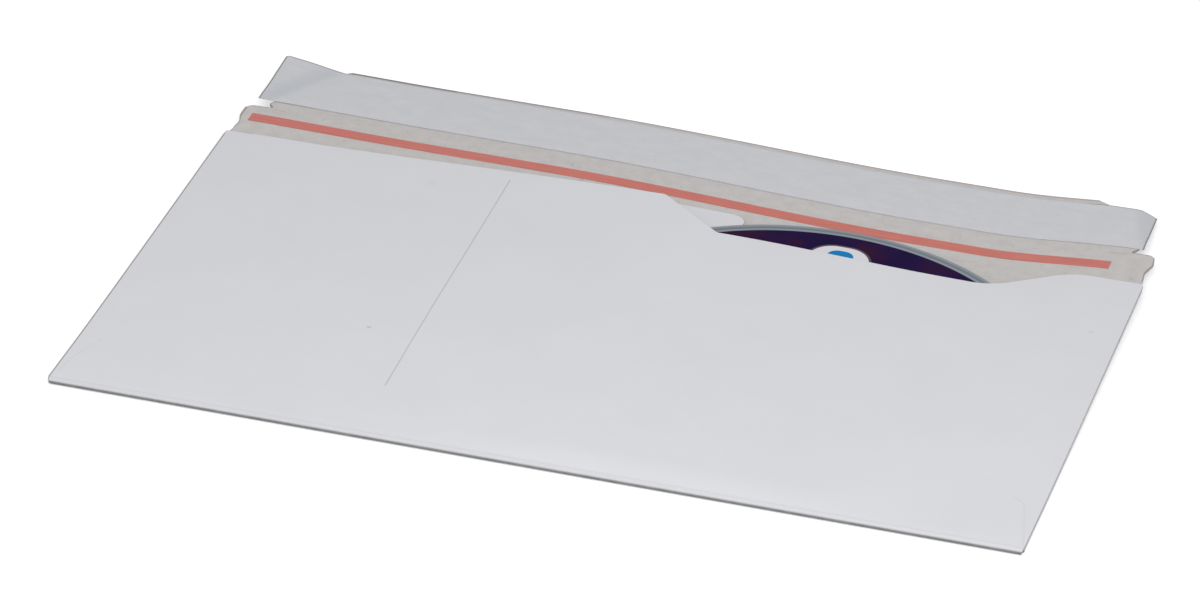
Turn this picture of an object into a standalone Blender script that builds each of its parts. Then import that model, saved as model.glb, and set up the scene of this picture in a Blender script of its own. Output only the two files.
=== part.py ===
"""A card mailer for one disc, lying open: a folded pouch, its closure flap, tear tape, glue and liner.

The pouch is one die-cut sheet. It is drawn flat as a blank, scored into a grid, folded round its side and
bottom folds, then bent into the slack shape that the filled pocket gives it. Sizes are in millimetres, with
x along the long side, y from the bottom fold to the mouth and z up. Everything is moved to metres, with the
middle of the part's base at the origin, when its mesh is made.
"""

import math

import bmesh
import bpy
from mathutils import Vector

MM = 0.001

# Board and the folded stack
BOARD = 0.5
LAYER_GAP = 0.1
FILM_GAP = 0.05
SEAM_THICKNESS = 0.1

# Pouch
POUCH_WIDTH = 225.0
MOUTH_Y = 125.0
CREASE_Y = 128.5
SPLIT_GAP = 0.3
CREASE_INSET = 0.9
CORNER_RADIUS = 0.8

# Thumb recess in the mouth edge of the front panel
RECESS_WIDTH = 98.1
RECESS_MARGIN = 17.5
RECESS_DEPTH = 13.5
RECESS_LEFT_RAMP = 16.3
RECESS_RIGHT_RAMP = 15.5
RECESS_LEFT_RADIUS = 1.5
RECESS_RIGHT_RADIUS = 6.0

# Wide left side flap, folded in under the disc, and narrow right glue flap
INNER_FLAP_WIDTH = 129.0
INNER_FLAP_TOP = 127.3
INNER_FLAP_RADIUS = 3.5
INNER_TAPER_START = 4.0
INNER_TAPER_WIDTH = 6.5
INNER_FLAP_BOTTOM = 22.5
GLUE_FLAP_WIDTH = 9.8
GLUE_TAPER_START = 1.6
GLUE_TAPER_WIDTH = 3.8
GLUE_FLAP_BOTTOM = 21.0
GLUE_FLAP_RADIUS = 2.0
SIDE_FOLD_TOP = 124.0
SEAM_WIDTH = 6.0
SEAM_INSET = 1.5
SEAM_BOTTOM = 26.0
SEAM_TOP = 119.0

# Closure flap with its pull tabs
FLAP_TOP = 167.2
FLAP_SHOULDER = 144.6
FLAP_SHOULDER_INSET = 5.0
FLAP_END_INSET = 17.8
FLAP_CHAMFER = 1.8
TAB_BOTTOM = 132.8
TAB_TOP = 141.8
TAB_RADIUS = 2.2
NOTCH_DEPTH = 6.4
NOTCH_Y = 142.5

# Tear tape, adhesive and release liner on the flap's inner side
TAPE_WIDTH = 4.0
TAPE_Y = 135.0
TAPE_START = 2.6
TAPE_MARGIN = 9.7
TAPE_THICKNESS = 0.1
LINER_START = 1.6
LINER_MARGIN = 4.5
LINER_BOTTOM = 144.8
LINER_WIDTH = 20.2
LINER_THICKNESS = 0.12
ADHESIVE_WIDTH = 15.0
ADHESIVE_INSET = 20.0
ADHESIVE_THICKNESS = 0.1
LINER_SKEW = 1.4
LINER_NEAR_SLOPE = 0.045
LINER_FAR_SLOPE = 0.18
LINER_SAG_SLOPE = 0.07
LINER_EAR = 5.0
LINER_EAR_SLOPE = 0.38

# Disc
DISC_RADIUS = 60.0
DISC_THICKNESS = 1.2
DISC_BORE_RADIUS = 7.5
STACK_RING_RADIUS = 17.0
STACK_RING_WIDTH = 0.8
STACK_RING_HEIGHT = 0.2
DISC_SIDE_GAP = 0.3
DISC_FOOT_GAP = 6.2
DISC_CLEARANCE = 0.15
SEAT_ANGLES = (131.0, 10.0, 290.0)

# Slack of the card: how far the mouth lifts, and where the belly still touches the table. The belly and
# the bow are placed by distances in from the right edge, which the disc lies beside. The flap's left end
# springs up a little.
MOUTH_LIFT = 2.45
FLAT_LENGTH = 20.0
LIFT_POWER = 1.25
BELLY_FAR = 147.0
BELLY_START = 57.0
BELLY_END = 41.0
BELLY_NEAR = 3.0
FLAP_RECOVERY = 0.1
FLAP_SPRING = 0.45
FLAP_SPRING_REACH = 45.0
BOW_HEIGHT = 2.9
BOW_FAR = 222.0
BOW_PEAK = 99.0
BOW_NEAR = 19.0
BOW_POWER = 1.7
PILLOW_CLEARANCE = 0.25
PILLOW_SOFTNESS = 0.3
PILLOW_REACH_LEFT = 48.0
PILLOW_REACH_RIGHT = 12.0
INNER_SPRING = 1.15
SPRING_LEFT = 60.0
SPRING_BOTTOM = 40.0

# Room between the closed flap and the front panel, which sets how high the crease rolls
CLOSING_CLEARANCE = 0.4

# Fineness of the scored grid
GRID_X = 7.5
GRID_Y = 12.5
FOOT_ROWS = 3
FOLD_STEPS = 6
ARC_STEPS = 5
LINER_END_GRID = 2.5
DISC_STEPS = 72

# Worked out from the sizes above
SIDE_RADIUS = (BOARD + LAYER_GAP) / 2
INNER_MID = BOARD / 2 + 2 * SIDE_RADIUS
FRONT_MID = INNER_MID + BOARD + SEAM_THICKNESS + 2 * FILM_GAP
BOTTOM_RADIUS = (FRONT_MID - BOARD / 2) / 2
LEFT_FOLD_X = SIDE_RADIUS + BOARD / 2
RIGHT_FOLD_X = POUCH_WIDTH - LEFT_FOLD_X
BOTTOM_FOLD_Y = BOTTOM_RADIUS + BOARD / 2
SIDE_ARC = math.pi * SIDE_RADIUS
BOTTOM_ARC = math.pi * BOTTOM_RADIUS
RECESS_RIGHT = POUCH_WIDTH - RECESS_MARGIN
RECESS_LEFT = RECESS_RIGHT - RECESS_WIDTH
TAPE_END = POUCH_WIDTH - TAPE_MARGIN
LINER_END = POUCH_WIDTH - LINER_MARGIN
LINER_TOP = LINER_BOTTOM + LINER_WIDTH
DISC_X = POUCH_WIDTH - GLUE_FLAP_WIDTH - DISC_SIDE_GAP - DISC_RADIUS
DISC_Y = DISC_FOOT_GAP + DISC_RADIUS
MIDDLE = Vector((POUCH_WIDTH / 2, FLAP_TOP / 2, 0.0))

GREY = (0.49, 0.475, 0.46)
WHITE = (0.62, 0.625, 0.645)


def clear_scene():
    """Remove every object that the file starts with."""
    for obj in list(bpy.data.objects):
        bpy.data.objects.remove(obj, do_unlink=True)


def smoothstep(t):
    """Ease from 0 to 1 as t goes from 0 to 1."""
    t = min(max(t, 0.0), 1.0)
    return t * t * (3.0 - 2.0 * t)


# Bent shape of the card

def mouth_lift(y):
    """Height of the pouch's side edges: flat on the table near the bottom fold, raised at the mouth."""
    reach = (min(y, CREASE_Y) - FLAT_LENGTH) / (CREASE_Y - FLAT_LENGTH)
    return MOUTH_LIFT * max(reach, 0.0) ** LIFT_POWER


def belly(x):
    """1 where the back panel sags to the table, 0 at the sides."""
    inward = POUCH_WIDTH - x
    rise = smoothstep((BELLY_FAR - inward) / (BELLY_FAR - BELLY_START))
    return rise * smoothstep((inward - BELLY_NEAR) / (BELLY_END - BELLY_NEAR))


def back_bend(x, y):
    """Height that the bending adds to the back panel and the closure flap."""
    recovery = FLAP_RECOVERY * smoothstep((y - CREASE_Y) / (FLAP_TOP - CREASE_Y))
    spring = FLAP_SPRING * smoothstep(1.0 - x / FLAP_SPRING_REACH) * smoothstep((y - CREASE_Y) / (TAPE_Y - CREASE_Y))
    return mouth_lift(y) * (1.0 - belly(x) * (1.0 - recovery)) + spring


def inner_bend(x, y):
    """The same for the wide left flap, whose free end springs up under the disc."""
    across = smoothstep((x - SPRING_LEFT) / (INNER_FLAP_WIDTH - SPRING_LEFT))
    along = smoothstep((y - SPRING_BOTTOM) / (INNER_FLAP_TOP - SPRING_BOTTOM))
    return back_bend(x, y) + INNER_SPRING * across * along


def disc_seat():
    """Middle of the disc's underside and the direction it faces: it rests on three points of its rim."""
    points = []
    for degrees in SEAT_ANGLES:
        angle = math.radians(degrees)
        x = DISC_X + DISC_RADIUS * math.cos(angle)
        y = DISC_Y + DISC_RADIUS * math.sin(angle)
        if x < INNER_FLAP_WIDTH:
            height = INNER_MID + BOARD / 2 + inner_bend(x, y)
        else:
            height = BOARD + back_bend(x, y)
        points.append(Vector((x, y, height + DISC_CLEARANCE)))
    facing = (points[1] - points[0]).cross(points[2] - points[0]).normalized()
    facing *= math.copysign(1.0, facing.z)
    middle = Vector((DISC_X, DISC_Y, 0.0))
    middle.z = facing.dot(points[0] - middle) / facing.z
    return middle, facing


def front_bend(x, y):
    """Height that the sprung flap and the disc add to the front panel."""
    inward = POUCH_WIDTH - x
    rise = min(max((BOW_FAR - inward) / (BOW_FAR - BOW_PEAK), 0.0), 1.0)
    fall = smoothstep((inward - BOW_NEAR) / (BOW_PEAK - BOW_NEAR))
    bow = BOW_HEIGHT * math.sin(math.pi / 2 * rise) ** BOW_POWER * fall * max(y, 0.0) / MOUTH_Y
    slack = mouth_lift(y) + bow
    place = Vector((x, y, 0.0))
    disc_top = DISC_THICKNESS + DISC_FACING.dot(DISC_MIDDLE - place) / DISC_FACING.z
    short = disc_top + PILLOW_CLEARANCE + BOARD / 2 - FRONT_MID - slack
    push = (short + math.hypot(short, PILLOW_SOFTNESS)) / 2
    aim = place - Vector((DISC_X, DISC_Y, 0.0))
    leftward = 0.5 - 0.5 * aim.x / max(aim.length, DISC_RADIUS)
    reach = PILLOW_REACH_RIGHT + (PILLOW_REACH_LEFT - PILLOW_REACH_RIGHT) * leftward
    window = smoothstep(1.0 - (aim.length - DISC_RADIUS) / reach)
    return slack + push * window * smoothstep(y / (DISC_Y - DISC_RADIUS))


def hinge_height():
    """Height of the crease's axis at which the closed flap clears the bowed front panel."""
    tallest = 0.0
    for x in steps(0.0, POUCH_WIDTH, GRID_X):
        front = FRONT_MID + BOARD / 2 + front_bend(x, MOUTH_Y)
        tallest = max(tallest, front + BOARD + back_bend(x, CREASE_Y))
    return (tallest + CLOSING_CLEARANCE) / 2


def overhang(x, y):
    """Distance from the flap's slanted ends out to a point of the liner: left, then right."""
    run = FLAP_END_INSET - FLAP_SHOULDER_INSET
    rise = FLAP_TOP - FLAP_SHOULDER
    edge = FLAP_SHOULDER_INSET + run * (y - FLAP_SHOULDER) / rise
    slope = rise / math.hypot(run, rise)
    return (edge - x) * slope, (x - (POUCH_WIDTH - edge)) * slope


def liner_bend(x, y):
    """The liner follows the flap, rises past its left end, sags past its right end and folds down at the corner."""
    left, right = (max(away, 0.0) for away in overhang(x, y))
    far = min(max((y - LINER_BOTTOM) / LINER_WIDTH, 0.0), 1.0)
    rise = left * (LINER_NEAR_SLOPE + (LINER_FAR_SLOPE - LINER_NEAR_SLOPE) * far)
    ear = max(x - LINER_END + LINER_EAR * far, 0.0)
    return back_bend(x, y) + rise - LINER_SAG_SLOPE * right - LINER_EAR_SLOPE * ear


# The flat blank: places on a folded panel, as places on the unfolded sheet

def on_back(x, y):
    """Blank place of a point on the back panel."""
    return x - LEFT_FOLD_X, y - BOTTOM_FOLD_Y


def on_front(x, y):
    """Blank place of a point on the front panel, which folds up round the bottom fold."""
    return x - LEFT_FOLD_X, -(y - BOTTOM_FOLD_Y + BOTTOM_ARC)


def on_left_flap(x, y):
    """Blank place of a point on the wide left flap."""
    return -(x - LEFT_FOLD_X + SIDE_ARC), y - BOTTOM_FOLD_Y


def on_right_flap(x, y):
    """Blank place of a point on the right glue flap."""
    return RIGHT_FOLD_X - LEFT_FOLD_X + SIDE_ARC + RIGHT_FOLD_X - x, y - BOTTOM_FOLD_Y


def roll(length, radius):
    """Fold a length past a fold line: distance back from the line, and height above the panel."""
    if length < math.pi * radius:
        angle = length / radius
        return -radius * math.sin(angle), radius * (1.0 - math.cos(angle))
    return length - math.pi * radius, 2.0 * radius


def fold_pouch(u, v):
    """Folded and bent place of a point of the pouch blank, on the middle of the board."""
    width = RIGHT_FOLD_X - LEFT_FOLD_X
    if v < 0.0:
        back, height = roll(-v, BOTTOM_RADIUS)
        x, y = u + LEFT_FOLD_X, BOTTOM_FOLD_Y + back
        share = height / (2.0 * BOTTOM_RADIUS)
        bend = share * front_bend(x, y) + (1.0 - share) * back_bend(x, y)
        return Vector((x, y, BOARD / 2 + height + bend))
    y = v + BOTTOM_FOLD_Y
    if 0.0 <= u <= width:
        x = u + LEFT_FOLD_X
        return Vector((x, y, BOARD / 2 + back_bend(x, y)))
    if u < 0.0:
        back, height = roll(-u, SIDE_RADIUS)
        x = LEFT_FOLD_X + back
        return Vector((x, y, BOARD / 2 + height + inner_bend(x, y)))
    back, height = roll(u - width, SIDE_RADIUS)
    x = RIGHT_FOLD_X - back
    return Vector((x, y, BOARD / 2 + height + back_bend(x, y)))


DISC_MIDDLE, DISC_FACING = disc_seat()


# Outlines and sheets

def rounded(corners):
    """Outline through corners given as (x, y, radius), with each corner turned into an arc."""
    points = []
    count = len(corners)
    for i, (x, y, radius) in enumerate(corners):
        here = Vector((x, y))
        if radius == 0.0:
            points.append(here)
            continue
        before = (Vector(corners[i - 1][:2]) - here).normalized()
        after = (Vector(corners[(i + 1) % count][:2]) - here).normalized()
        half = before.angle(after) / 2
        centre = here + (before + after).normalized() * radius / math.sin(half)
        start = here + before * radius / math.tan(half) - centre
        end = here + after * radius / math.tan(half) - centre
        turn = start.angle_signed(end)
        for k in range(ARC_STEPS + 1):
            angle = -turn * k / ARC_STEPS
            spin = (math.cos(angle), math.sin(angle))
            points.append(centre + Vector((start.x * spin[0] - start.y * spin[1],
                                           start.x * spin[1] + start.y * spin[0])))
    return points


def filled_outline(points):
    """Fill an outline as a flat 2D curve, and return it as a bmesh with one face."""
    curve = bpy.data.curves.new("outline", "CURVE")
    curve.dimensions = "2D"
    curve.fill_mode = "BOTH"
    spline = curve.splines.new("POLY")
    spline.points.add(len(points) - 1)
    for point, place in zip(spline.points, points):
        point.co = (place.x, place.y, 0.0, 1.0)
    spline.use_cyclic_u = True
    holder = bpy.data.objects.new("outline", curve)
    bpy.context.scene.collection.objects.link(holder)
    graph = bpy.context.evaluated_depsgraph_get()
    flat = bpy.data.meshes.new_from_object(holder.evaluated_get(graph))
    bm = bmesh.new()
    bm.from_mesh(flat)
    bpy.data.objects.remove(holder, do_unlink=True)
    bpy.data.curves.remove(curve)
    bpy.data.meshes.remove(flat)
    bmesh.ops.remove_doubles(bm, verts=bm.verts, dist=1e-4)
    bmesh.ops.dissolve_faces(bm, faces=bm.faces[:])
    return bm


def score(bm, across, places, keep=lambda face: True):
    """Cut the sheet's faces along straight lines at places, across x or y."""
    normal = Vector((1, 0, 0)) if across == "x" else Vector((0, 1, 0))
    for place in places:
        faces = [face for face in bm.faces if keep(face)]
        edges = {edge for face in faces for edge in face.edges}
        verts = {vert for face in faces for vert in face.verts}
        geometry = faces + list(edges) + list(verts)
        bmesh.ops.bisect_plane(bm, geom=geometry, dist=1e-4, plane_co=normal * place, plane_no=normal)


def steps(start, end, size):
    """Multiples of a size that lie between start and end."""
    first = math.ceil(start / size + 1e-6)
    last = math.floor(end / size - 1e-6)
    return [k * size for k in range(first, last + 1)]


def make_material(name, colour, roughness, metallic=0.0, alpha=1.0):
    """Plain surface with the piece's own colour."""
    material = bpy.data.materials.new(name)
    material.use_nodes = True
    shader = material.node_tree.nodes["Principled BSDF"]
    shader.inputs["Base Color"].default_value = (*colour, 1.0)
    shader.inputs["Roughness"].default_value = roughness
    shader.inputs["Metallic"].default_value = metallic
    shader.inputs["Alpha"].default_value = alpha
    return material


def sheet_object(name, bm, thickness, shape, material, parent=None):
    """Bend a flat bmesh with shape(x, y), give it its thickness, and place it."""
    base = parent.location if parent else Vector((0.0, 0.0, 0.0))
    for vert in bm.verts:
        vert.co = (shape(vert.co.x, vert.co.y) - MIDDLE) * MM - base
    bmesh.ops.recalc_face_normals(bm, faces=bm.faces[:])
    mesh = bpy.data.meshes.new(name)
    bm.to_mesh(mesh)
    bm.free()
    mesh.materials.append(material)
    obj = bpy.data.objects.new(name, mesh)
    bpy.data.collections["cd_mailer"].objects.link(obj)
    obj.parent = parent
    wall = obj.modifiers.new("board", "SOLIDIFY")
    wall.thickness = thickness * MM
    wall.offset = 0.0
    wall.use_even_offset = True
    return obj


# Pieces

def grid_rows(bottom, top):
    """Grid lines across y, with close rows over the foot where the pocket opens."""
    foot = DISC_Y - DISC_RADIUS
    rows = [foot * k / FOOT_ROWS for k in range(1, FOOT_ROWS + 1)]
    rows += steps(FLAT_LENGTH, FLAP_TOP, GRID_Y) + [FLAT_LENGTH]
    return sorted({y for y in rows if bottom < y < top})


def pouch_outline():
    """Die line of the pouch blank: back panel, left flap, front panel, right flap."""
    split = CREASE_Y - SPLIT_GAP / 2
    inset = CREASE_INSET
    recess = MOUTH_Y - RECESS_DEPTH
    glue_x = POUCH_WIDTH - GLUE_FLAP_WIDTH
    taper_x = POUCH_WIDTH - GLUE_TAPER_WIDTH
    return rounded([
        (*on_back(inset, split), 0.0),
        (*on_back(LEFT_FOLD_X, SIDE_FOLD_TOP), 0.0),
        (*on_left_flap(LEFT_FOLD_X, SIDE_FOLD_TOP), 0.0),
        (*on_left_flap(INNER_TAPER_WIDTH, INNER_FLAP_TOP), 0.0),
        (*on_left_flap(INNER_FLAP_WIDTH, INNER_FLAP_TOP), INNER_FLAP_RADIUS),
        (*on_left_flap(INNER_FLAP_WIDTH, INNER_FLAP_BOTTOM), INNER_FLAP_RADIUS),
        (*on_left_flap(INNER_TAPER_WIDTH, INNER_FLAP_BOTTOM), GLUE_FLAP_RADIUS),
        (*on_left_flap(LEFT_FOLD_X, INNER_TAPER_START), 0.0),
        (*on_back(LEFT_FOLD_X, INNER_TAPER_START), 0.0),
        (*on_back(LEFT_FOLD_X, BOTTOM_FOLD_Y), 0.0),
        (*on_front(0.0, BOTTOM_FOLD_Y), 0.0),
        (*on_front(0.0, MOUTH_Y), CORNER_RADIUS),
        (*on_front(RECESS_LEFT, MOUTH_Y), RECESS_LEFT_RADIUS),
        (*on_front(RECESS_LEFT + RECESS_LEFT_RAMP, recess), RECESS_LEFT_RADIUS),
        (*on_front(RECESS_RIGHT - RECESS_RIGHT_RAMP, recess), RECESS_RIGHT_RADIUS),
        (*on_front(RECESS_RIGHT, MOUTH_Y), RECESS_RIGHT_RADIUS),
        (*on_front(POUCH_WIDTH, MOUTH_Y), CORNER_RADIUS),
        (*on_front(POUCH_WIDTH, BOTTOM_FOLD_Y), 0.0),
        (*on_back(RIGHT_FOLD_X, BOTTOM_FOLD_Y), 0.0),
        (*on_back(RIGHT_FOLD_X, GLUE_TAPER_START), 0.0),
        (*on_right_flap(RIGHT_FOLD_X, GLUE_TAPER_START), 0.0),
        (*on_right_flap(taper_x, GLUE_FLAP_BOTTOM), GLUE_FLAP_RADIUS),
        (*on_right_flap(glue_x, GLUE_FLAP_BOTTOM), GLUE_FLAP_RADIUS),
        (*on_right_flap(glue_x, SIDE_FOLD_TOP - GLUE_FLAP_RADIUS), GLUE_FLAP_RADIUS),
        (*on_right_flap(RIGHT_FOLD_X, SIDE_FOLD_TOP), 0.0),
        (*on_back(RIGHT_FOLD_X, SIDE_FOLD_TOP), 0.0),
        (*on_back(POUCH_WIDTH - inset, split), 0.0),
    ])


def build_pouch():
    """Fold the scored blank into the pouch."""
    bm = filled_outline(pouch_outline())
    arcs = [k / FOLD_STEPS for k in range(FOLD_STEPS + 1)]
    columns = steps(0.0, POUCH_WIDTH, GRID_X)
    score(bm, "y", [-share * BOTTOM_ARC for share in arcs])
    score(bm, "y", [on_back(0.0, y)[1] for y in grid_rows(BOTTOM_FOLD_Y, CREASE_Y - SPLIT_GAP)])
    score(bm, "y", [on_front(0.0, y)[1] for y in grid_rows(BOTTOM_FOLD_Y, MOUTH_Y)])
    score(bm, "x", [on_back(x, 0.0)[0] for x in columns])
    score(bm, "x", [on_left_flap(x, 0.0)[0] for x in columns if x < INNER_FLAP_WIDTH])
    score(bm, "x", [on_right_flap(x, 0.0)[0] for x in columns if x > POUCH_WIDTH - GLUE_FLAP_WIDTH])

    def above_fold(face):
        return face.calc_center_median().y > 0.0

    score(bm, "x", [-share * SIDE_ARC for share in arcs], above_fold)
    width = RIGHT_FOLD_X - LEFT_FOLD_X
    score(bm, "x", [width + share * SIDE_ARC for share in arcs], above_fold)
    return sheet_object("pouch", bm, BOARD, fold_pouch, make_material("white_lined_card", WHITE, 0.5))


def flap_outline():
    """Die line of the closure flap, with a pull tab and a notch at each end."""
    split = CREASE_Y + SPLIT_GAP / 2
    half = [
        (CREASE_INSET, split, 0.0),
        (CREASE_INSET, TAB_BOTTOM, 0.0),
        (0.0, TAB_BOTTOM + TAB_RADIUS, TAB_RADIUS),
        (0.0, TAB_TOP, TAB_RADIUS),
        (NOTCH_DEPTH, TAB_TOP, 0.0),
        (NOTCH_DEPTH, NOTCH_Y, 0.0),
        (FLAP_SHOULDER_INSET, FLAP_SHOULDER, 0.0),
        (FLAP_END_INSET - FLAP_CHAMFER / 2, FLAP_TOP - FLAP_CHAMFER, 0.0),
        (FLAP_END_INSET + FLAP_CHAMFER, FLAP_TOP, 0.0),
    ]
    other = [(POUCH_WIDTH - x, y, radius) for x, y, radius in reversed(half)]
    return rounded(half + other)


def build_flap(hinge):
    """Closure flap, from the crease to its free edge."""
    bm = filled_outline(flap_outline())
    score(bm, "x", steps(0.0, POUCH_WIDTH, GRID_X))
    score(bm, "y", [TAPE_Y - TAPE_WIDTH / 2, TAPE_Y + TAPE_WIDTH / 2, LINER_BOTTOM, LINER_BOTTOM + LINER_WIDTH / 2])

    def shape(x, y):
        return Vector((x, y, BOARD / 2 + back_bend(x, y)))

    return sheet_object("closure_flap", bm, BOARD, shape, make_material("grey_board", GREY, 0.8), hinge)


def strip(name, left, right, bottom, top, base, thickness, bend, material, rows=(), ends=(), skew=0.0, parent=None):
    """Thin strip whose underside lies at a height above a bent panel, with its left end skewed away."""
    corners = [Vector((left, bottom)), Vector((right, bottom)), Vector((right, top)), Vector((left, top))]
    bm = filled_outline(corners)
    score(bm, "x", steps(left, right, GRID_X))
    for start, end in ends:
        score(bm, "x", steps(start, end, LINER_END_GRID))
    score(bm, "y", rows)

    def shape(x, y):
        y += skew * (0.5 - (x - left) / (right - left))
        return Vector((x, y, base + thickness / 2 + bend(x, y)))

    return sheet_object(name, bm, thickness, shape, material, parent)


def build_seams():
    """Glue lines that hold the front panel to the two side flaps."""
    glue = make_material("seam_glue", (0.75, 0.72, 0.62), 0.35)
    base = INNER_MID + BOARD / 2 + FILM_GAP
    rows = grid_rows(SEAM_BOTTOM, SEAM_TOP)
    left = (SEAM_INSET, SEAM_INSET + SEAM_WIDTH)
    right = (POUCH_WIDTH - left[1], POUCH_WIDTH - left[0])
    for name, (start, end) in (("glue_seam_left", left), ("glue_seam_right", right)):
        strip(name, start, end, SEAM_BOTTOM, SEAM_TOP, base, SEAM_THICKNESS, back_bend, glue, rows)


def build_flap_strips(hinge):
    """Tear tape, adhesive and release liner, all on the flap's inner side."""
    board_top = BOARD + FILM_GAP
    red = make_material("tear_tape", (0.56, 0.165, 0.135), 0.4)
    glue = make_material("adhesive", (0.82, 0.8, 0.72), 0.25)
    paper = make_material("release_liner", (0.52, 0.545, 0.575), 0.45)
    half = TAPE_WIDTH / 2
    strip("tear_tape", TAPE_START, TAPE_END, TAPE_Y - half, TAPE_Y + half, board_top, TAPE_THICKNESS,
          back_bend, red, parent=hinge)
    middle = LINER_BOTTOM + LINER_WIDTH / 2
    start = ADHESIVE_INSET
    strip("adhesive_strip", start, POUCH_WIDTH - start, middle - ADHESIVE_WIDTH / 2, middle + ADHESIVE_WIDTH / 2,
          board_top, ADHESIVE_THICKNESS, back_bend, glue, [middle], parent=hinge)
    rows = [LINER_BOTTOM + LINER_WIDTH * k / 4 for k in range(1, 4)]
    ends = [(LINER_START, FLAP_END_INSET), (POUCH_WIDTH - FLAP_END_INSET, LINER_END)]
    strip("release_liner", LINER_START, LINER_END, LINER_BOTTOM, LINER_TOP, board_top + ADHESIVE_THICKNESS + FILM_GAP,
          LINER_THICKNESS, liner_bend, paper, rows, ends, LINER_SKEW, hinge)


def build_disc():
    """Disc turned from its section, lying in the pocket on the sprung flap."""
    ring = STACK_RING_RADIUS
    section = [
        (DISC_BORE_RADIUS, 0.0), (ring, 0.0), (ring, -STACK_RING_HEIGHT),
        (ring + STACK_RING_WIDTH, -STACK_RING_HEIGHT), (ring + STACK_RING_WIDTH, 0.0),
        (DISC_RADIUS, 0.0), (DISC_RADIUS, DISC_THICKNESS), (DISC_BORE_RADIUS, DISC_THICKNESS),
    ]
    bm = bmesh.new()
    verts = [bm.verts.new((radius * MM, 0.0, z * MM)) for radius, z in section]
    edges = [bm.edges.new((verts[i - 1], verts[i])) for i in range(len(verts))]
    bmesh.ops.spin(bm, geom=verts + edges, axis=(0, 0, 1), cent=(0, 0, 0), angle=math.tau, steps=DISC_STEPS,
                   use_merge=True)
    bmesh.ops.recalc_face_normals(bm, faces=bm.faces[:])
    mesh = bpy.data.meshes.new("disc")
    bm.to_mesh(mesh)
    bm.free()
    mesh.materials.append(make_material("printed_disc", (0.03, 0.012, 0.08), 0.2))
    disc = bpy.data.objects.new("disc", mesh)
    bpy.data.collections["cd_mailer"].objects.link(disc)
    disc.location = (DISC_MIDDLE - MIDDLE) * MM
    disc.rotation_euler = Vector((0.0, 0.0, 1.0)).rotation_difference(DISC_FACING).to_euler()


def build_hinge():
    """Empty on the axis that the closure flap turns about."""
    hinge = bpy.data.objects.new("flap_hinge", None)
    bpy.data.collections["cd_mailer"].objects.link(hinge)
    hinge.location = (Vector((POUCH_WIDTH / 2, CREASE_Y, hinge_height())) - MIDDLE) * MM
    return hinge


def main():
    clear_scene()
    collection = bpy.data.collections.new("cd_mailer")
    bpy.context.scene.collection.children.link(collection)
    build_pouch()
    build_seams()
    build_disc()
    hinge = build_hinge()
    build_flap(hinge)
    build_flap_strips(hinge)


main()
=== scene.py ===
"""Looks of an open card mailer for one disc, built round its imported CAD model.

Sizes are in millimetres in the pouch's own frame: x along the long side, y from the bottom fold to the mouth,
z up from the table. Each mesh is moved to the shared frame, in metres, when it is finished. A UV map named
flat holds each piece's flat pattern in metres, so that grain, flecks and cuts follow the folded card.
"""

import logging
import math
from collections.abc import Callable, Iterable, Mapping
from dataclasses import dataclass, field
from enum import Enum
from functools import cached_property

import bmesh
import bpy
from mathutils import Matrix, Vector

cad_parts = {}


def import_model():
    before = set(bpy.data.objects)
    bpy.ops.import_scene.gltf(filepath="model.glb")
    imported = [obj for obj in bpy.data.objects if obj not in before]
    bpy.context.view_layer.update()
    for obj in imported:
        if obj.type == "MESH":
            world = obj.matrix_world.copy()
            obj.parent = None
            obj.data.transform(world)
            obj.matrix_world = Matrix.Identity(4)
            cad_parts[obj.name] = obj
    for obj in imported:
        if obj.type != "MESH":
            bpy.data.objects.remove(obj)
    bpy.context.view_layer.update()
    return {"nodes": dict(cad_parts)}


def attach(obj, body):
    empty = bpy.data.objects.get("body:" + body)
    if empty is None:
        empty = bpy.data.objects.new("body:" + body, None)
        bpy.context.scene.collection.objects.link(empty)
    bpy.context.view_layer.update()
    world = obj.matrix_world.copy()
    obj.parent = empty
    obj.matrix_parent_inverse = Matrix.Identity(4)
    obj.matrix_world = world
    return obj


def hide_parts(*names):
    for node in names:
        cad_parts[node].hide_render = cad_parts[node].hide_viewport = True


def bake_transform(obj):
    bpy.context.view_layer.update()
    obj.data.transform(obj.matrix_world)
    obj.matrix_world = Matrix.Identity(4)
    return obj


MM = 0.001
FLAT_MAP = "flat"
SHARP_ANGLE = math.radians(38.0)
SCORE_REACH = 1e-4
ORIGIN = (0.0, 0.0, 0.0)

log = logging.getLogger("disc_mailer")

Socket = bpy.types.NodeSocket
Value = float | tuple[float, ...] | Socket
Colour = tuple[float, float, float]
Place = tuple[float, float]
Corner = tuple[float, float, float]


class CardFace(Enum):
    """Material slots of the card sheet."""

    BOARD = 0
    COATED = 1
    CUT = 2


def smoothstep(t: float) -> float:
    """Ease from 0 to 1 as t goes from 0 to 1."""
    t = min(max(t, 0.0), 1.0)
    return t * t * (3.0 - 2.0 * t)


def spaced(start: float, end: float, size: float) -> list[float]:
    """Even places from start to end, both included, at most a size apart."""
    count = max(math.ceil(abs(end - start) / size), 1)
    return [start + (end - start) * k / count for k in range(count + 1)]


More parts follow.
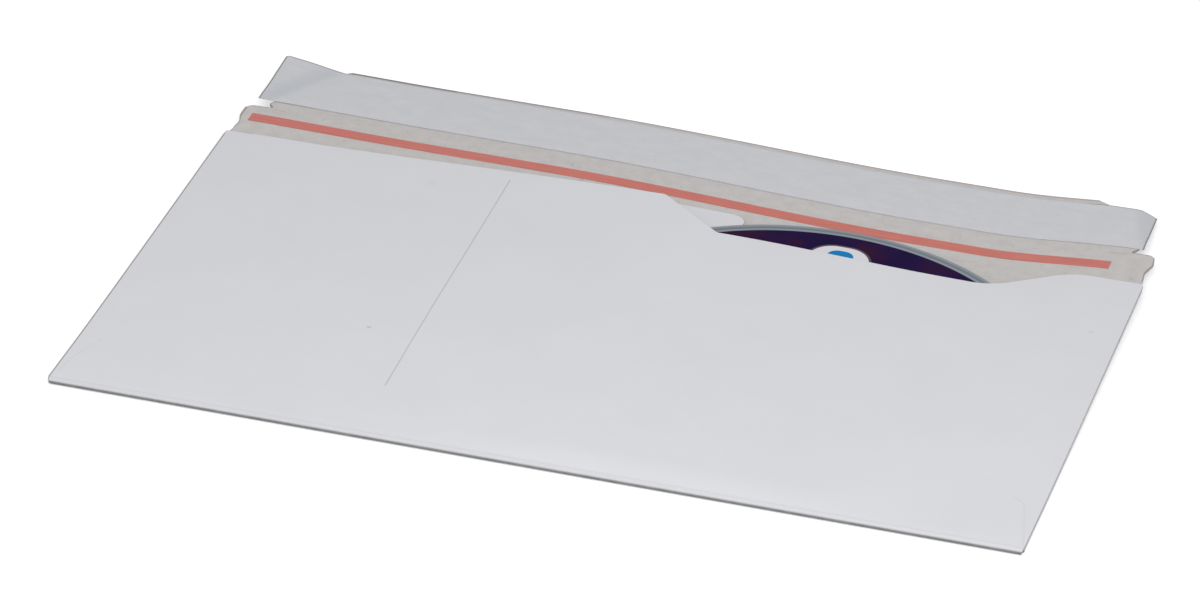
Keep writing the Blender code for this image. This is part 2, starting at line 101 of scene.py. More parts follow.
@dataclass(frozen=True)
class PouchForm:
    """Sizes of the folded pouch, and the slack shape that its filled pocket gives the card."""

    width: float = 225.0
    mouth_y: float = 125.0
    crease_y: float = 128.5
    flap_top: float = 167.2
    flap_shoulder: float = 144.6
    flap_shoulder_inset: float = 5.0
    flap_end_inset: float = 17.8
    board: float = 0.5
    side_radius: float = 0.3
    bottom_radius: float = 0.65
    inner_mid: float = 0.85
    front_mid: float = 1.55
    mouth_rise: float = 2.45
    flat_length: float = 20.0
    rise_power: float = 1.25
    belly_far: float = 147.0
    belly_start: float = 57.0
    belly_end: float = 41.0
    belly_near: float = 3.0
    flap_recovery: float = 0.1
    flap_spring: float = 0.45
    flap_spring_reach: float = 45.0
    flap_spring_end: float = 135.0
    bow_height: float = 2.9
    bow_far: float = 222.0
    bow_peak: float = 99.0
    bow_near: float = 19.0
    bow_power: float = 1.7
    pillow_clearance: float = 0.25
    pillow_softness: float = 0.3
    pillow_left: float = 48.0
    pillow_right: float = 12.0
    inner_flap_width: float = 129.0
    inner_flap_top: float = 127.3
    inner_spring: float = 1.15
    spring_left: float = 60.0
    spring_bottom: float = 40.0
    disc_radius: float = 60.0
    disc_thickness: float = 1.2
    disc_x: float = 154.9
    disc_y: float = 66.2
    disc_clearance: float = 0.15
    seat_angles: tuple[float, float, float] = (131.0, 10.0, 290.0)

    @property
    def left_fold(self) -> float:
        """Where the left side fold starts to turn."""
        return self.side_radius + self.board / 2

    @property
    def right_fold(self) -> float:
        """Where the right side fold starts to turn."""
        return self.width - self.left_fold

    @property
    def bottom_fold(self) -> float:
        """Where the bottom fold starts to turn."""
        return self.bottom_radius + self.board / 2

    @property
    def side_arc(self) -> float:
        """Length of card in a side fold."""
        return math.pi * self.side_radius

    @property
    def bottom_arc(self) -> float:
        """Length of card in the bottom fold."""
        return math.pi * self.bottom_radius

    @property
    def middle(self) -> Vector:
        """The shared frame's origin, in the pouch's frame."""
        return Vector((self.width / 2, self.flap_top / 2, 0.0))

    def mouth_lift(self, y: float) -> float:
        """Height of the pouch's side edges, flat near the bottom fold and raised at the mouth."""
        reach = (min(y, self.crease_y) - self.flat_length) / (self.crease_y - self.flat_length)
        return self.mouth_rise * max(reach, 0.0) ** self.rise_power

    def belly(self, x: float) -> float:
        """How far the back panel sags to the table: fully along its middle, not at the sides.

        Args:
            x: Place along the long side.

        Returns:
            The share, from 0 to 1.
        """
        inward = self.width - x
        rise = smoothstep((self.belly_far - inward) / (self.belly_far - self.belly_start))
        return rise * smoothstep((inward - self.belly_near) / (self.belly_end - self.belly_near))

    def back_bend(self, x: float, y: float) -> float:
        """Height that the bending adds to the back panel and the closure flap.

        Args:
            x: Place along the long side.
            y: Place from the bottom fold.

        Returns:
            The added height.
        """
        past = smoothstep((y - self.crease_y) / (self.flap_top - self.crease_y))
        spring = smoothstep(1.0 - x / self.flap_spring_reach)
        spring *= self.flap_spring * smoothstep((y - self.crease_y) / (self.flap_spring_end - self.crease_y))
        return self.mouth_lift(y) * (1.0 - self.belly(x) * (1.0 - self.flap_recovery * past)) + spring

    def inner_bend(self, x: float, y: float) -> float:
        """The same for the wide left flap, whose free end springs up under the disc.

        Args:
            x: Place along the long side.
            y: Place from the bottom fold.

        Returns:
            The added height.
        """
        across = smoothstep((x - self.spring_left) / (self.inner_flap_width - self.spring_left))
        along = smoothstep((y - self.spring_bottom) / (self.inner_flap_top - self.spring_bottom))
        return self.back_bend(x, y) + self.inner_spring * across * along

    @cached_property
    def disc_seat(self) -> tuple[Vector, Vector]:
        """Where the disc lies, from three points of its rim on the card.

        Returns:
            Middle of its underside, and the way that it faces.
        """
        points = []
        for degrees in self.seat_angles:
            angle = math.radians(degrees)
            x = self.disc_x + self.disc_radius * math.cos(angle)
            y = self.disc_y + self.disc_radius * math.sin(angle)
            if x < self.inner_flap_width:
                height = self.inner_mid + self.board / 2 + self.inner_bend(x, y)
            else:
                height = self.board + self.back_bend(x, y)
            points.append(Vector((x, y, height + self.disc_clearance)))
        facing = (points[1] - points[0]).cross(points[2] - points[0]).normalized()
        facing *= math.copysign(1.0, facing.z)
        middle = Vector((self.disc_x, self.disc_y, 0.0))
        middle.z = facing.dot(points[0] - middle) / facing.z
        return middle, facing

    def front_bend(self, x: float, y: float) -> float:
        """Height that the sprung flap and the disc add to the front panel.

        Args:
            x: Place along the long side.
            y: Place from the bottom fold.

        Returns:
            The added height.
        """
        inward = self.width - x
        rise = min(max((self.bow_far - inward) / (self.bow_far - self.bow_peak), 0.0), 1.0)
        fall = smoothstep((inward - self.bow_near) / (self.bow_peak - self.bow_near))
        bow = self.bow_height * math.sin(math.pi / 2 * rise) ** self.bow_power * fall
        slack = self.mouth_lift(y) + bow * max(y, 0.0) / self.mouth_y
        middle, facing = self.disc_seat
        place = Vector((x, y, 0.0))
        disc_top = self.disc_thickness + facing.dot(middle - place) / facing.z
        short = disc_top + self.pillow_clearance + self.board / 2 - self.front_mid - slack
        push = (short + math.hypot(short, self.pillow_softness)) / 2
        aim = place - Vector((self.disc_x, self.disc_y, 0.0))
        leftward = 0.5 - 0.5 * aim.x / max(aim.length, self.disc_radius)
        reach = self.pillow_right + (self.pillow_left - self.pillow_right) * leftward
        window = smoothstep(1.0 - (aim.length - self.disc_radius) / reach)
        return slack + push * window * smoothstep(y / (self.disc_y - self.disc_radius))

    def on_back(self, x: float, y: float) -> Place:
        """Blank place of a point on the back panel or the closure flap."""
        return x - self.left_fold, y - self.bottom_fold

    def on_front(self, x: float, y: float) -> Place:
        """Blank place of a point on the front panel."""
        return x - self.left_fold, -(y - self.bottom_fold + self.bottom_arc)

    def on_left_flap(self, x: float, y: float) -> Place:
        """Blank place of a point on the wide left flap."""
        return -(x - self.left_fold + self.side_arc), y - self.bottom_fold

    def on_right_flap(self, x: float, y: float) -> Place:
        """Blank place of a point on the right glue flap."""
        return 2 * self.right_fold - self.left_fold + self.side_arc - x, y - self.bottom_fold

    def fold(self, u: float, v: float) -> Vector:
        """Fold and bend a point of the blank.

        Args:
            u: Blank place along the long side.
            v: Blank place from the bottom fold line.

        Returns:
            Its place on the middle of the folded board.
        """
        half = self.board / 2
        if v < 0.0:
            back, height = roll(-v, self.bottom_radius)
            x, y = u + self.left_fold, self.bottom_fold + back
            share = height / (2.0 * self.bottom_radius)
            bend = share * self.front_bend(x, y) + (1.0 - share) * self.back_bend(x, y)
            return Vector((x, y, half + height + bend))
        y = v + self.bottom_fold
        width = self.right_fold - self.left_fold
        if u < 0.0:
            back, height = roll(-u, self.side_radius)
            x = self.left_fold + back
            return Vector((x, y, half + height + self.inner_bend(x, y)))
        if u > width:
            back, height = roll(u - width, self.side_radius)
            x = self.right_fold - back
            return Vector((x, y, half + height + self.back_bend(x, y)))
        x = u + self.left_fold
        return Vector((x, y, half + self.back_bend(x, y)))


def roll(length: float, radius: float) -> tuple[float, float]:
    """Fold a length past a fold line.

    Args:
        length: Length of card past the line.
        radius: Radius of the fold, on the middle of the board.

    Returns:
        Distance back from the line, and height above the panel.
    """
    if length < math.pi * radius:
        angle = length / radius
        return -radius * math.sin(angle), radius * (1.0 - math.cos(angle))
    return length - math.pi * radius, 2.0 * radius


def cut_sheet(corners: Iterable[Corner], segments: int) -> bmesh.types.BMesh:
    """Cut a flat sheet along a die line.

    Args:
        corners: Each corner's x, y and cut length, which a rounded corner takes off its two edges.
        segments: Facets of a rounded corner.

    Returns:
        A bmesh with one face, which faces up.
    """
    bm = bmesh.new()
    lengths = {}
    for x, y, cut in corners:
        lengths.setdefault(cut, []).append(bm.verts.new((x, y, 0.0)))
    bm.faces.new([vert for vert in bm.verts])
    for cut, verts in lengths.items():
        if cut > 0.0:
            bmesh.ops.bevel(bm, geom=verts, offset=cut, offset_type="OFFSET", affect="VERTICES",
                            segments=segments, profile=0.5, material=-1)
    bm.normal_update()
    if next(iter(bm.faces)).normal.z < 0.0:
        bmesh.ops.reverse_faces(bm, faces=bm.faces[:])
    return bm


def score(bm: bmesh.types.BMesh, axis: int, places: Iterable[float],
          keep: Callable[[bmesh.types.BMFace], bool] | None = None) -> None:
    """Cut a sheet's faces along straight lines.

    Args:
        bm: The flat sheet.
        axis: 0 for lines across x, 1 for lines across y.
        places: Where the lines lie.
        keep: Which faces are cut. Left out, all of them are.
    """
    normal = Vector((float(axis == 0), float(axis == 1), 0.0))
    for place in places:
        faces = bm.faces[:] if keep is None else [face for face in bm.faces if keep(face)]
        edges = {edge for face in faces for edge in face.edges}
        verts = {vert for face in faces for vert in face.verts}
        bmesh.ops.bisect_plane(bm, geom=[*faces, *edges, *verts], dist=SCORE_REACH,
                               plane_co=normal * place, plane_no=normal)


def keep_flat_places(bm: bmesh.types.BMesh) -> None:
    """Store each vertex's x and y, in metres, in the flat map.

    Args:
        bm: A sheet that is still flat.
    """
    layer = bm.loops.layers.uv.new(FLAT_MAP)
    for face in bm.faces:
        for loop in face.loops:
            loop[layer].uv = loop.vert.co.xy * MM


def add_object(name: str, data: bpy.types.ID) -> bpy.types.Object:
    """Put a mesh, lamp or camera in the scene.

    Args:
        name: The object's name.
        data: Its data.

    Returns:
        The object.
    """
    made = bpy.data.objects.new(name, data)
    bpy.context.scene.collection.objects.link(made)
    return made


def finish_piece(name: str, bm: bmesh.types.BMesh, form: PouchForm, materials: list[bpy.types.Material],
                 wall: float = 0.0, offsets: Place = (0, 0)) -> bpy.types.Object:
    """Move a shaped bmesh to the shared frame and make it an object.

    Args:
        name: The piece's name.
        bm: The shape, in millimetres in the pouch's frame. It is used up.
        form: The pouch, for the place of the shared frame's origin.
        materials: The piece's material slots.
        wall: Thickness to give an open sheet, half to each side.
        offsets: Slots further on for the sheet's lower face and for its cut edges.

    Returns:
        The piece, at the origin, with its place in its mesh.
    """
    bmesh.ops.translate(bm, verts=bm.verts[:], vec=-form.middle)
    bmesh.ops.scale(bm, verts=bm.verts[:], vec=(MM, MM, MM))
    mesh = bpy.data.meshes.new(name)
    bm.to_mesh(mesh)
    bm.free()
    for material in materials:
        mesh.materials.append(material)
    piece = add_object(name, mesh)
    if wall:
        board = piece.modifiers.new("board", "SOLIDIFY")
        board.thickness = wall * MM
        board.offset = 0.0
        board.use_even_offset = True
        board.material_offset, board.material_offset_rim = offsets
        graph = bpy.context.evaluated_depsgraph_get()
        solid = bpy.data.meshes.new_from_object(piece.evaluated_get(graph), preserve_all_data_layers=True,
                                                depsgraph=graph)
        piece.modifiers.clear()
        piece.data = solid
        bpy.data.meshes.remove(mesh)
        solid.name = name
    shade(piece.data)
    log.info("%s: %d faces", name, len(piece.data.polygons))
    return piece


def shade(mesh: bpy.types.Mesh) -> None:
    """Shade a mesh smooth, with its cut edges kept sharp.

    Args:
        mesh: The mesh.
    """
    bm = bmesh.new()
    bm.from_mesh(mesh)
    for face in bm.faces:
        face.smooth = True
    for edge in bm.edges:
        edge.smooth = edge.calc_face_angle(0.0) < SHARP_ANGLE
    bm.to_mesh(mesh)
    bm.free()


class Wiring:
    """Short calls that wire one node tree."""

    def __init__(self, tree: bpy.types.NodeTree) -> None:
        """Work on this tree."""
        self.tree = tree

    def node(self, kind: str, inputs: Mapping[str | int, Value], **settings: object) -> bpy.types.Node:
        """Add a node.

        Args:
            kind: The node's type, without its ShaderNode prefix.
            inputs: Values or sockets for its inputs.
            **settings: Its own properties.

        Returns:
            The node.
        """
        node = self.tree.nodes.new("ShaderNode" + kind)
        for name, value in settings.items():
            setattr(node, name, value)
        for key, value in inputs.items():
            if isinstance(value, Socket):
                self.tree.links.new(value, node.inputs[key])
            elif node.inputs[key].type == "RGBA":
                node.inputs[key].default_value = (*value, 1.0)
            else:
                node.inputs[key].default_value = value
        return node

    def math(self, operation: str, *values: Value) -> Socket:
        """Output of a Math node."""
        return self.node("Math", dict(enumerate(values)), operation=operation).outputs[0]

    def scale(self, value: Value, factor: Value, offset: Value = 0.0) -> Socket:
        """A value times a factor, plus an offset where one is given."""
        scaled = self.math("MULTIPLY", value, factor)
        return scaled if offset == 0.0 else self.math("ADD", scaled, offset)

    def vector(self, operation: str, *values: Value) -> Socket:
        """Output of a Vector Math node.

        Args:
            operation: The node's operation.
            *values: Its inputs.

        Returns:
            A number for a length, distance or dot product, else a vector.
        """
        node = self.node("VectorMath", dict(enumerate(values)), operation=operation)
        number = operation in ("LENGTH", "DISTANCE", "DOT_PRODUCT")
        return node.outputs["Value" if number else "Vector"]

    def ramp(self, value: Value, low: float, high: float) -> Socket:
        """Ease from 0 at low to 1 at high."""
        inputs = {"Value": value, "From Min": low, "From Max": high}
        return self.node("MapRange", inputs, interpolation_type="SMOOTHSTEP").outputs["Result"]

    def blend(self, share: Value, first: Value, second: Value) -> Socket:
        """Colour between first, at share 0, and second, at share 1."""
        node = self.node("Mix", {0: share, 6: first, 7: second}, data_type="RGBA")
        return node.outputs[2]

    def tint(self, colour: Value, value: Value) -> Socket:
        """A colour made lighter or darker by a factor."""
        return self.vector("MULTIPLY", colour, self.even(value))

    def even(self, value: Value) -> Socket:
        """A vector with the same number three times."""
        return self.node("CombineXYZ", {0: value, 1: value, 2: value}).outputs[0]

    def parts(self, place: Socket) -> tuple[Socket, Socket]:
        """The x and y of a place."""
        return tuple(self.node("SeparateXYZ", {0: place}).outputs[:2])

    def noise(self, place: Socket, scale: float, detail: float, **more: float) -> Socket:
        """Place a noise pattern.

        Args:
            place: Where the pattern is read.
            scale: Its scale.
            detail: Its detail.
            **more: Other inputs, by their names in small letters.

        Returns:
            Its factor.
        """
        inputs = {"Vector": place, "Scale": scale, "Detail": detail}
        inputs.update((name.capitalize(), value) for name, value in more.items())
        return self.node("TexNoise", inputs).outputs["Fac"]

    def flat(self) -> Socket:
        """Place on the piece's flat pattern."""
        return self.node("UVMap", {}, uv_map=FLAT_MAP).outputs["UV"]

    def object_place(self) -> Socket:
        """Place in the shared frame."""
        return self.node("TexCoord", {}).outputs["Object"]

    def group(self, tree: bpy.types.NodeTree, **inputs: Value) -> Socket:
        """Place a shared group.

        Args:
            tree: The group.
            **inputs: Values or sockets for its inputs, by their names in small letters.

        Returns:
            Its output.
        """
        node = self.node("Group", {}, node_tree=tree)
        for name, value in inputs.items():
            socket = node.inputs[name.replace("_", " ").capitalize()]
            if isinstance(value, Socket):
                self.tree.links.new(value, socket)
            else:
                socket.default_value = value
        return node.outputs[0]


@dataclass(frozen=True)
class PressedLine:
    """A straight mark on the blank, from start to end, in millimetres."""

    start: Place
    end: Place
    width: float
    shade: float


@dataclass(frozen=True)
class MarkRun:
    """A run of straight marks through some places of a panel, in millimetres."""

    places: tuple[Place, ...]
    width: float
    shade: float

    def pressed(self, panel: Callable[[float, float], Place]) -> list[PressedLine]:
        """The run's lines on the blank.

        Args:
            panel: Turns a place on the run's panel into one on the blank.

        Returns:
            One line less than the places.
        """
        ends = [panel(*place) for place in self.places]
        return [PressedLine(near, far, self.width, self.shade) for near, far in zip(ends, ends[1:])]


class PatternKit:
    """Patterns that several finishes share, each one node group that is built once."""

    def __init__(self) -> None:
        """Build the groups."""
        self.cloud = self._cloud()
        self.flecks = self._flecks()
        self.fibres = self._fibres()
        self.line = self._line()

    @staticmethod
    def _start(name: str, output: str,
               inputs: dict[str, float | tuple]) -> tuple[Wiring, dict[str, Socket], Socket]:
        """Start a group.

        Args:
            name: The group's name.
            output: Name of its one output.
            inputs: Its inputs with their defaults. A tuple makes a vector.

        Returns:
            Its wiring, its inputs by name, and the socket that its result goes to.
        """
        tree = bpy.data.node_groups.new(name, "ShaderNodeTree")
        for key, value in inputs.items():
            kind = "NodeSocketVector" if isinstance(value, tuple) else "NodeSocketFloat"
            socket = tree.interface.new_socket(name=key.capitalize(), in_out="INPUT", socket_type=kind)
            socket.default_value = value
        tree.interface.new_socket(name=output, in_out="OUTPUT", socket_type="NodeSocketFloat")
        entry = tree.nodes.new("NodeGroupInput")
        leave = tree.nodes.new("NodeGroupOutput")
        return Wiring(tree), {key: entry.outputs[key.capitalize()] for key in inputs}, leave.inputs[0]

    def _cloud(self) -> bpy.types.NodeTree:
        """Soft unevenness of pulp: a factor around 1.

        Returns:
            The group.
        """
        given = {"place": ORIGIN, "size": 0.01, "depth": 0.05}
        wire, given, result = self._start("paper_cloud", "Factor", given)
        place = wire.vector("DIVIDE", given["place"], wire.even(given["size"]))
        both = wire.scale(wire.noise(place, 1.0, 2.0), 1.4, wire.scale(wire.noise(place, 4.5, 3.0), 0.6))
        swing = wire.math("MULTIPLY", wire.math("SUBTRACT", both, 1.0), given["depth"])
        wire.tree.links.new(wire.math("ADD", swing, 1.0), result)
        return wire.tree

    def _flecks(self) -> bpy.types.NodeTree:
        """Scattered specks and short fibres: a mask.

        Returns:
            The group.
        """
        given = {"place": ORIGIN, "cell": 0.002, "share": 0.1, "reach": 0.3}
        wire, given, result = self._start("board_flecks", "Mask", given)
        place = wire.vector("DIVIDE", given["place"], wire.even(given["cell"]))
        warp = wire.node("TexNoise", {"Vector": place, "Scale": 2.2, "Detail": 1.0}).outputs["Color"]
        warp = wire.vector("MULTIPLY", wire.vector("SUBTRACT", warp, (0.5, 0.5, 0.5)), (1.3, 1.3, 1.3))
        cells = wire.node("TexVoronoi", {"Vector": wire.vector("ADD", place, warp), "Scale": 1.0})
        parts = wire.node("SeparateColor", {0: cells.outputs["Color"]})
        picked = wire.math("LESS_THAN", parts.outputs[0], given["share"])
        size = wire.math("MULTIPLY", wire.math("ADD", parts.outputs[1], 0.25), given["reach"])
        near = wire.math("SUBTRACT", 1.0, wire.math("DIVIDE", cells.outputs["Distance"], size))
        wire.tree.links.new(wire.math("MULTIPLY", wire.ramp(near, 0.0, 0.6), picked), result)
        return wire.tree

    def _fibres(self) -> bpy.types.NodeTree:
        """Fine felt of crossing fibres: a height from 0 to 1.

        Returns:
            The group.
        """
        given = {"place": ORIGIN, "width": 0.0002, "length": 0.002}
        wire, given, result = self._start("felt_fibres", "Height", given)
        total = None
        for turn in (20.0, 85.0, 150.0):
            turned = wire.node("VectorRotate", {"Vector": given["place"], "Angle": math.radians(turn)},
                               rotation_type="Z_AXIS").outputs[0]
            across = wire.node("CombineXYZ", {0: given["length"], 1: given["width"], 2: 1.0}).outputs[0]
            noise = wire.noise(wire.vector("DIVIDE", turned, across), 1.0, 2.0, distortion=0.4)
            total = noise if total is None else wire.math("MAXIMUM", total, noise)
        wire.tree.links.new(wire.ramp(total, 0.35, 0.8), result)
        return wire.tree

    def _line(self) -> bpy.types.NodeTree:
        """Straight mark between two places of the flat pattern: a mask.

        Returns:
            The group.
        """
        given = {"place": ORIGIN, "start": ORIGIN, "end": (1.0, 0.0, 0.0), "width": 0.0002}
        wire, given, result = self._start("pressed_line", "Mask", given)
        away = wire.vector("SUBTRACT", given["place"], given["start"])
        run = wire.vector("SUBTRACT", given["end"], given["start"])
        share, whole = (wire.vector("DOT_PRODUCT", length, run) for length in (away, run))
        share = wire.math("MINIMUM", wire.math("MAXIMUM", wire.math("DIVIDE", share, whole), 0.0), 1.0)
        along = wire.vector("MULTIPLY", run, wire.even(share))
        away = wire.math("DIVIDE", wire.vector("DISTANCE", away, along), given["width"])
        wire.tree.links.new(wire.ramp(wire.math("SUBTRACT", 1.0, away), 0.0, 0.8), result)
        return wire.tree

    def marks(self, wire: Wiring, place: Socket, lines: Iterable[PressedLine]) -> Socket:
        """Draw some pressed lines together.

        Args:
            wire: The material's wiring.
            place: Place on the flat pattern.
            lines: The lines.

        Returns:
            A mask, with each line's own shade.
        """
        marks = None
        for line in lines:
            start, end = ((x * MM, y * MM, 0.0) for x, y in (line.start, line.end))
            mark = wire.group(self.line, place=place, start=start, end=end, width=line.width * MM)
            mark = wire.math("MULTIPLY", mark, line.shade)
            marks = mark if marks is None else wire.math("MAXIMUM", marks, mark)
        return marks


class Material:
    """One Principled material that is being wired."""

    def __init__(self, name: str, roughness: float, specular: float = 0.5) -> None:
        """Start a material with its even values set on the shader.

        Args:
            name: The material's name.
            roughness: Its roughness.
            specular: Its specular level.
        """
        self.made = bpy.data.materials.new(name)
        self.made.use_nodes = True
        self.wire = Wiring(self.made.node_tree)
        self.shader = self.made.node_tree.nodes["Principled BSDF"]
        self.set("Roughness", roughness)
        self.set("Specular IOR Level", specular)

    def set(self, name: str, value: Value) -> None:
        """Give one of the shader's inputs its value.

        Args:
            name: The input's name.
            value: What it gets, a constant or a socket.
        """
        if isinstance(value, Socket):
            self.made.node_tree.links.new(value, self.shader.inputs[name])
        else:
            self.shader.inputs[name].default_value = value

    def bump(self, height: Socket, depth: float) -> None:
        """Raise the surface by a height from 0 to 1 times a depth in millimetres."""
        node = self.wire.node("Bump", {"Height": height, "Distance": depth * MM, "Strength": 1.0})
        self.set("Normal", node.outputs["Normal"])


@dataclass(frozen=True)
class CoatedFinish:
    """White coated outer face of the card, with painted shade on the bottom fold. Places on the bottom fold
    are shares of its arc.
    """

    colour: Colour = (0.687, 0.691, 0.724)
    # Painted shade of the bottom fold, where it turns away from the light.
    fold_shade_colour: Colour = (0.15, 0.15, 0.15)
    dust_and_shade_colour: Colour = (0.27, 0.255, 0.25)
    fold_middle: float = 0.2
    fold_shade_reach: Place = (0.48, 0.26)
    crown_reach: Place = (1.08, 0.5)
    # How much painted shade lies over the fold's top, to tone down its highlight.
    crown_shade_share: float = 0.2

    def make(self, kit: PatternKit, form: PouchForm, lines: Iterable[PressedLine]) -> bpy.types.Material:
        """Wire the coated face.

        Args:
            kit: The shared patterns.
            form: The pouch, for the place of its folds on the blank.
            lines: Cuts, specks, and imprints drawn with painted shade, that show on this face.

        Returns:
            The material.
        """
        material = Material("coated_card", 0.5, 0.35)
        wire = material.wire
        place = wire.flat()
        colour = wire.tint(self.colour, wire.group(kit.cloud, place=place, size=0.022, depth=0.035))
        dust = wire.group(kit.flecks, place=place, cell=0.0085, share=0.035, reach=0.05)
        colour = wire.blend(wire.scale(dust, 0.5), colour, self.dust_and_shade_colour)
        marks = kit.marks(wire, place, lines)
        # The marks darken towards the same colour: the long cut's dark line, specks of dirt, a dark line
        # along the left side, and painted shade where the side flaps' ends press through.
        colour = wire.blend(marks, colour, self.dust_and_shade_colour)
        # Painted shade on the bottom fold: a dark band on its lower part, and a weaker shade over its top
        # that tones down the highlight there, varied by a noise as rubbed wear.
        arc = form.bottom_arc * MM
        into = wire.math("ABSOLUTE", wire.math("ADD", wire.parts(place)[1], arc * self.fold_middle))
        fold_shade_and_wear, crown_shade = (wire.ramp(into, arc * far, arc * near)
                       for far, near in (self.fold_shade_reach, self.crown_reach))
        fold_shade_and_wear = wire.math("MAXIMUM", fold_shade_and_wear, wire.scale(crown_shade, self.crown_shade_share))
        fold_shade_and_wear = wire.math("MULTIPLY", fold_shade_and_wear, wire.scale(wire.noise(place, 420.0, 3.0), 0.3, 0.75))
        material.set("Base Color", wire.blend(fold_shade_and_wear, colour, self.fold_shade_colour))
        grain = wire.noise(place, 1900.0, 2.0)
        material.set("Roughness", wire.scale(grain, 0.16, 0.42))
        material.bump(wire.math("SUBTRACT", wire.scale(grain, 0.06), marks), 0.1)
        return material.made


@dataclass(frozen=True)
class BoardFinish:
    """Grey recycled inner face of the card."""

    colour: Colour = (0.565, 0.542, 0.532)
    fleck_and_shade_colour: Colour = (0.235, 0.210, 0.205)
    pale_fibre: Colour = (0.68, 0.655, 0.645)

    def make(self, kit: PatternKit, lines: Iterable[PressedLine]) -> bpy.types.Material:
        """Wire the board.

        Args:
            kit: The shared patterns.
            lines: Cuts, scores and painted shadow that show on this face.

        Returns:
            The material.
        """
        material = Material("grey_board", 0.85, 0.25)
        wire = material.wire
        place = wire.flat()
        colour = wire.tint(self.colour, wire.group(kit.cloud, place=place, size=0.003, depth=0.20))
        felt = wire.group(kit.fibres, place=place, width=0.00022, length=0.0016)
        colour = wire.blend(wire.scale(felt, 0.35), colour, self.pale_fibre)
        for cell, share, strength in ((0.0009, 0.36, 0.42), (0.0021, 0.16, 0.36)):
            fleck = wire.group(kit.flecks, place=place, cell=cell, share=share, reach=0.22)
            colour = wire.blend(wire.scale(fleck, strength), colour, self.fleck_and_shade_colour)
        # Marks darken towards the fleck colour: cuts, dark lines along the flap's ends, painted shade in the
        # crease, and painted shadow beyond the liner's far edge.
        marks = kit.marks(wire, place, lines)
        material.set("Base Color", wire.blend(marks, colour, self.fleck_and_shade_colour))
        material.bump(wire.math("SUBTRACT", wire.scale(felt, 0.25), marks), 0.12)
        return material.made


@dataclass(frozen=True)
class CutFinish:
    """Raw die-cut edge of the board, with its plies showing."""

    colour: Colour = (0.34, 0.315, 0.295)
    ply_colour: Colour = (0.50, 0.48, 0.46)

    def make(self, kit: PatternKit) -> bpy.types.Material:
        """Wire the cut edge.

        Args:
            kit: The shared patterns.

        Returns:
            The material.
        """
        material = Material("cut_edge", 0.9, 0.2)
        wire = material.wire
        felt = wire.group(kit.fibres, place=wire.object_place(), width=0.00015, length=0.0009)
        material.set("Base Color", wire.blend(felt, self.colour, self.ply_colour))
        material.bump(felt, 0.05)
        return material.made


@dataclass(frozen=True)
class TapeFinish:
    """Satin red tear tape with fine lengthwise filaments."""

    colour: Colour = (0.600, 0.156, 0.120)
    deep_colour: Colour = (0.45, 0.098, 0.075)

    def make(self, kit: PatternKit) -> bpy.types.Material:
        """Wire the tape.

        Args:
            kit: The shared patterns.

        Returns:
            The material.
        """
        material = Material("tear_tape", 0.42, 0.4)
        wire = material.wire
        place = wire.flat()
        filament = wire.noise(wire.vector("MULTIPLY", place, (60.0, 5200.0, 1.0)), 1.0, 2.0)
        cloud = wire.group(kit.cloud, place=place, size=0.006, depth=0.10)
        colour = wire.blend(wire.ramp(filament, 0.35, 0.85), self.colour, self.deep_colour)
        material.set("Base Color", wire.tint(colour, cloud))
        material.set("Roughness", wire.scale(filament, 0.25, 0.3))
        material.bump(filament, 0.02)
        return material.made


@dataclass(frozen=True)
class LinerMasks:
    """Masks of the painted shade where the liner folds, and of its dark edges. Distances here are in
    millimetres along its flat pattern.
    """

    wire: Wiring
    strip: "LinerStrip"
    x: Socket
    y: Socket
    fold_rise: Place = (-1.5, 2.0)
    fold_fade: Place = (2.5, 8.0)
    ear_rise: Place = (-2.0, 1.0)
    free_run: Place = (19.0, 14.0)

    def ramp(self, value: Value, places: Place) -> Socket:
        """Ease from 0 to 1 between two distances."""
        return self.wire.ramp(value, places[0] * MM, places[1] * MM)

    def left_fold(self) -> Socket:
        """Painted shade of the soft fold past the flap's slanted left end, strongest close past it.

        Returns:
            A mask.
        """
        wire, form = self.wire, self.strip.form
        slope = (form.flap_end_inset - form.flap_shoulder_inset) / (form.flap_top - form.flap_shoulder)
        up = wire.math("SUBTRACT", self.y, form.flap_shoulder * MM)
        past = wire.math("SUBTRACT", wire.scale(up, slope, form.flap_shoulder_inset * MM), self.x)
        fade = wire.math("SUBTRACT", 1.0, wire.scale(self.ramp(past, self.fold_fade), 0.8))
        return wire.math("MULTIPLY", self.ramp(past, self.fold_rise), fade)

    def ear(self) -> Socket:
        """Painted shade on the corner that is folded down at the far right end.

        Returns:
            A mask.
        """
        wire, strip = self.wire, self.strip
        up = wire.math("SUBTRACT", self.y, strip.bottom * MM)
        edge = wire.math("SUBTRACT", strip.right * MM, wire.scale(up, strip.ear / (strip.top - strip.bottom)))
        return wire.scale(self.ramp(wire.math("SUBTRACT", self.x, edge), self.ear_rise), 0.6)

    def outline(self) -> Socket:
        """Dark lines at the ends, and along the far edge, darkest where the liner hangs free.

        Returns:
            A mask.
        """
        wire, strip = self.wire, self.strip
        ends = wire.math("MINIMUM", wire.math("SUBTRACT", self.x, strip.left * MM),
                         wire.math("SUBTRACT", strip.right * MM, self.x))
        far = wire.math("SUBTRACT", strip.top * MM, self.y)
        at_end, at_far = (self.ramp(away, (strip.outline, 0.3 * strip.outline)) for away in (ends, far))
        at_far = wire.math("MULTIPLY", at_far, wire.scale(self.ramp(ends, self.free_run), 0.6, 0.1))
        return wire.math("MAXIMUM", wire.scale(at_end, 0.85), at_far)


